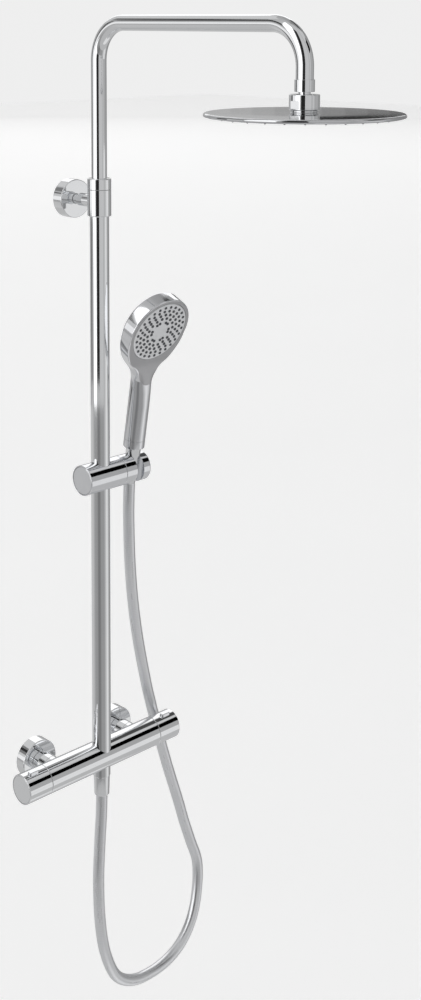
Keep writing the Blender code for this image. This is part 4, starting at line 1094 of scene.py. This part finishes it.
def makeSprayDisc():
    h = handset
    disc = turned("spray_disc_satin", scaled(
        (-h["faceThick"], 0), (-h["faceThick"], h["faceRadius"]), (0.7, h["faceRadius"], 0.7),
        *h["discRelief"]), faceAxis, facePlace, 160)
    finishPiece(disc, discSilver, "light_disc", "spray_disc", "spray_disc")
    frameOf = axisMatrix(faceAxis, facePlace)
    places = []
    for radius, count, shift in h["nozzleRings"]:
        for k in range(count):
            angle = 2 * math.pi * (k + shift) / count
            places.append(frameOf @ (mm * Vector((radius * math.cos(angle),
                                                  radius * math.sin(angle), 0))))
    nubs = repeatedTurned("spray_disc_nozzles_silicone", scaled(*h["nub"]), places, faceAxis, 16)
    finishPiece(nubs, silicone, "rubber", "spray_disc")


def makeHandsetEnd(name, corners, sides):
    made = turned(name, scaled(*corners), "Z", (0, 0, 0), sides, hollow=True)
    made.data.transform(handsetMatrix)
    return made


def makeHandset():
    cutShell()
    makeFacePlate()
    makeSprayDisc()
    sleeve = makeHandsetEnd("handset_end_sleeve_chromed", handset["endSleeve"], 128)
    finishPiece(sleeve, chromedAbs, "chromed_abs", "handset", "handset_end_sleeve")
    cone = makeHandsetEnd("hose_cone_nut_chromed", handset["coneNut"], 96)
    return finishPiece(cone, chrome, "chrome", "hose_cone", "hose_cone_nut")


coneNut = makeHandset()
print("handset made")


# What each part kept from the frame is made of, by a word in its name
keptFinishes = {
    "check_valve": whiteAcetal, "filter_washer": blackRubber, "riser_nipple": brass,
    "hose_outlet_nipple": brass, "hose_washer": blackRubber, "cartridge_nut": brass,
    "cartridge": greyAbs, "stem": brass, "spring": steel, "bracket_base": steel,
    "wall_screw": steel, "grub_screw": steel, "guide_bush": whiteAcetal,
    "clamp_collet": whiteAcetal, "ball_seat": greyAbs, "brake_yoke": blackAcetal,
    "holder_axle": steel, "spray_distributor": whiteAcetal,
}


def finishKept():
    for name, piece in nodes.items():
        known = [finish for word, finish in keptFinishes.items() if word in name]
        if piece.hide_render or not known:
            continue
        for place in piece.material_slots:
            place.material = known[0]


finishKept()
print("kept parts finished")


studio = {
    "floor": -1.93, "floorHalf": 28.0, "floorGlow": 0.42, "seen": 0.86, "ambient": 0.40,
    "distance": 30.0,
    # brightness all round at low and at middle heights, by heading from the wall towards the right
    "low": ((-180, 0.34), (-145, 0.33), (-137, 0.26), (-125, 0.20), (-110, 0.22), (-101, 0.32),
            (-67, 0.36), (-45, 0.52), (-23, 0.60), (0, 0.60), (40, 0.60), (60, 0.36), (80, 0.27),
            (108, 0.38), (127, 0.72), (135, 0.80), (144, 0.80), (152, 0.66), (159, 0.57),
            (172, 0.42), (180, 0.34)),
    "middle": ((-180, 0.59), (-60, 0.55), (-45, 0.50), (0, 0.45), (60, 0.36), (80, 0.27),
               (108, 0.35), (127, 0.50), (135, 0.62), (144, 0.62), (159, 0.58), (172, 0.465),
               (180, 0.59)),
    "lowTop": -16, "floorTop": -34, "floorLevel": 0.52,
    # soft boxes and black flags: headings, elevations, brightness
    "panels": (
        (-137, -108, -15, 66, 0.02), (-108, -101, -15, 66, 0.30), (-101, -62, -16, 66, 1.50),
        (-60, -36, -15, -8, 0.42), (-60, -36, -8, 6, 0.95), (-60, -36, 6, 15, 0.62),
        (-60, -36, 15, 24, 0.22), (-60, -33, 24, 33, 0.03), (-33, -20, 24, 38, 0.22),
        (-36, -16, -15, 20, 0.14), (-36, 20, 38, 60, 0.66), (-16, 25, 20, 38, 0.60),
        (20, 64, 10, 44, 1.25), (56, 66, 44, 48, 0.70), (20, 64, -2, 10, 0.50),
        (66, 104, 44, 60, 0.07), (104, 126, 42, 60, 0.62), (118, 150, 22, 42, 0.0),
        (125, 150, -5, 22, 0.42), (127, 150, -16, -5, 0.80), (49, 60, 4, 9, 0.02),
        (90, 180, -90, -55, 0.80), (-180, -150, -90, -55, 0.80),
    ),
    # what the flat top of the overhead shower mirrors, from its left to its right
    "discBand": (43, 54, 1.0, 4.6, 0.56, 0.15),
}


def paleFloor():
    # matt paper roll: barely any gloss, with a very slow drift in tone
    sockets = {"Specular IOR Level": 0.2, "Emission Color": (1, 1, 1, 1),
               "Emission Strength": studio["floorGlow"]}
    return varied("matt_paper_floor", sockets, ("#e4e4e4", "#e9e9e9"), (0.75, 0.85), 900, 0.0, 1)


def lampMaterial(name):
    made = bpy.data.materials.new(name)
    made.use_nodes = True
    tree = made.node_tree
    tree.nodes.clear()
    level = addNode(tree, "ShaderNodeAttribute", {"attribute_name": "brightness"})
    lamp = addNode(tree, "ShaderNodeEmission", None, {"Strength": level.outputs["Fac"]})
    addNode(tree, "ShaderNodeOutputMaterial", None, {"Surface": lamp.outputs[0]})
    return made


def brightnessAt(heading, elevation):
    level = along(studio["middle"], heading)
    if elevation < studio["lowTop"]:
        level = along(studio["low"], heading)
    if elevation < studio["floorTop"]:
        level = studio["floorLevel"]
    for left, right, bottom, top, brightness in studio["panels"]:
        if left <= heading < right and bottom <= elevation < top:
            level = brightness
    left, right, bottom, top, first, last = studio["discBand"]
    if left <= heading < right and bottom <= elevation < top:
        level = first + (last - first) * (heading - left) / (right - left)
    return level


def addSurround():
    # a far sphere whose cells each have their own brightness, seen only in the chrome
    far = studio["distance"]
    headings = list(range(-180, 181))
    elevations = list(range(-90, 91))
    points, faces, levels = [], [], []
    for heading in headings:
        for elevation in elevations:
            a, e = math.radians(heading), math.radians(elevation)
            points.append((far * math.sin(a) * math.cos(e), far * math.cos(a) * math.cos(e),
                           far * math.sin(e)))
    rows = len(elevations)
    for i in range(len(headings) - 1):
        for k in range(rows - 1):
            here, after = i * rows + k, (i + 1) * rows + k
            faces.append((here, here + 1, after + 1, after))
            levels.append(brightnessAt(headings[i] + 0.5, elevations[k] + 0.5))
    mesh = bpy.data.meshes.new("studio_surround")
    mesh.from_pydata(points, [], faces)
    mesh.attributes.new("brightness", "FLOAT", "FACE").data.foreach_set("value", levels)
    made = linked("studio_surround", mesh)
    made.data.materials.append(lampMaterial("studio_soft_light"))
    made.visible_camera = False
    made.visible_shadow = False


def addStudio():
    floorMesh = bpy.data.meshes.new("studio_floor")
    s, z = studio["floorHalf"], studio["floor"]
    floorMesh.from_pydata([(-s, -s, z), (s, -s, z), (s, s, z), (-s, s, z)], [], [(0, 1, 2, 3)])
    floor = linked("studio_floor", floorMesh)
    floor.data.materials.append(paleFloor())
    floor.visible_glossy = False
    addSurround()
    world = bpy.data.worlds.new("studio_world")
    bpy.context.scene.world = world
    world.use_nodes = True
    tree = world.node_tree
    tree.nodes.clear()
    path = addNode(tree, "ShaderNodeLightPath")
    dim, pale = [
        addNode(tree, "ShaderNodeBackground", {"Color": (1, 1, 1, 1), "Strength": strength})
        for strength in (studio["ambient"], studio["seen"])]
    both = addNode(tree, "ShaderNodeMixShader", None, {0: path.outputs["Is Camera Ray"],
                                                       1: dim.outputs[0], 2: pale.outputs[0]})
    addNode(tree, "ShaderNodeOutputWorld", None, {"Surface": both.outputs[0]})
    bpy.context.scene.view_settings.view_transform = "Standard"


addStudio()
print("studio lit")
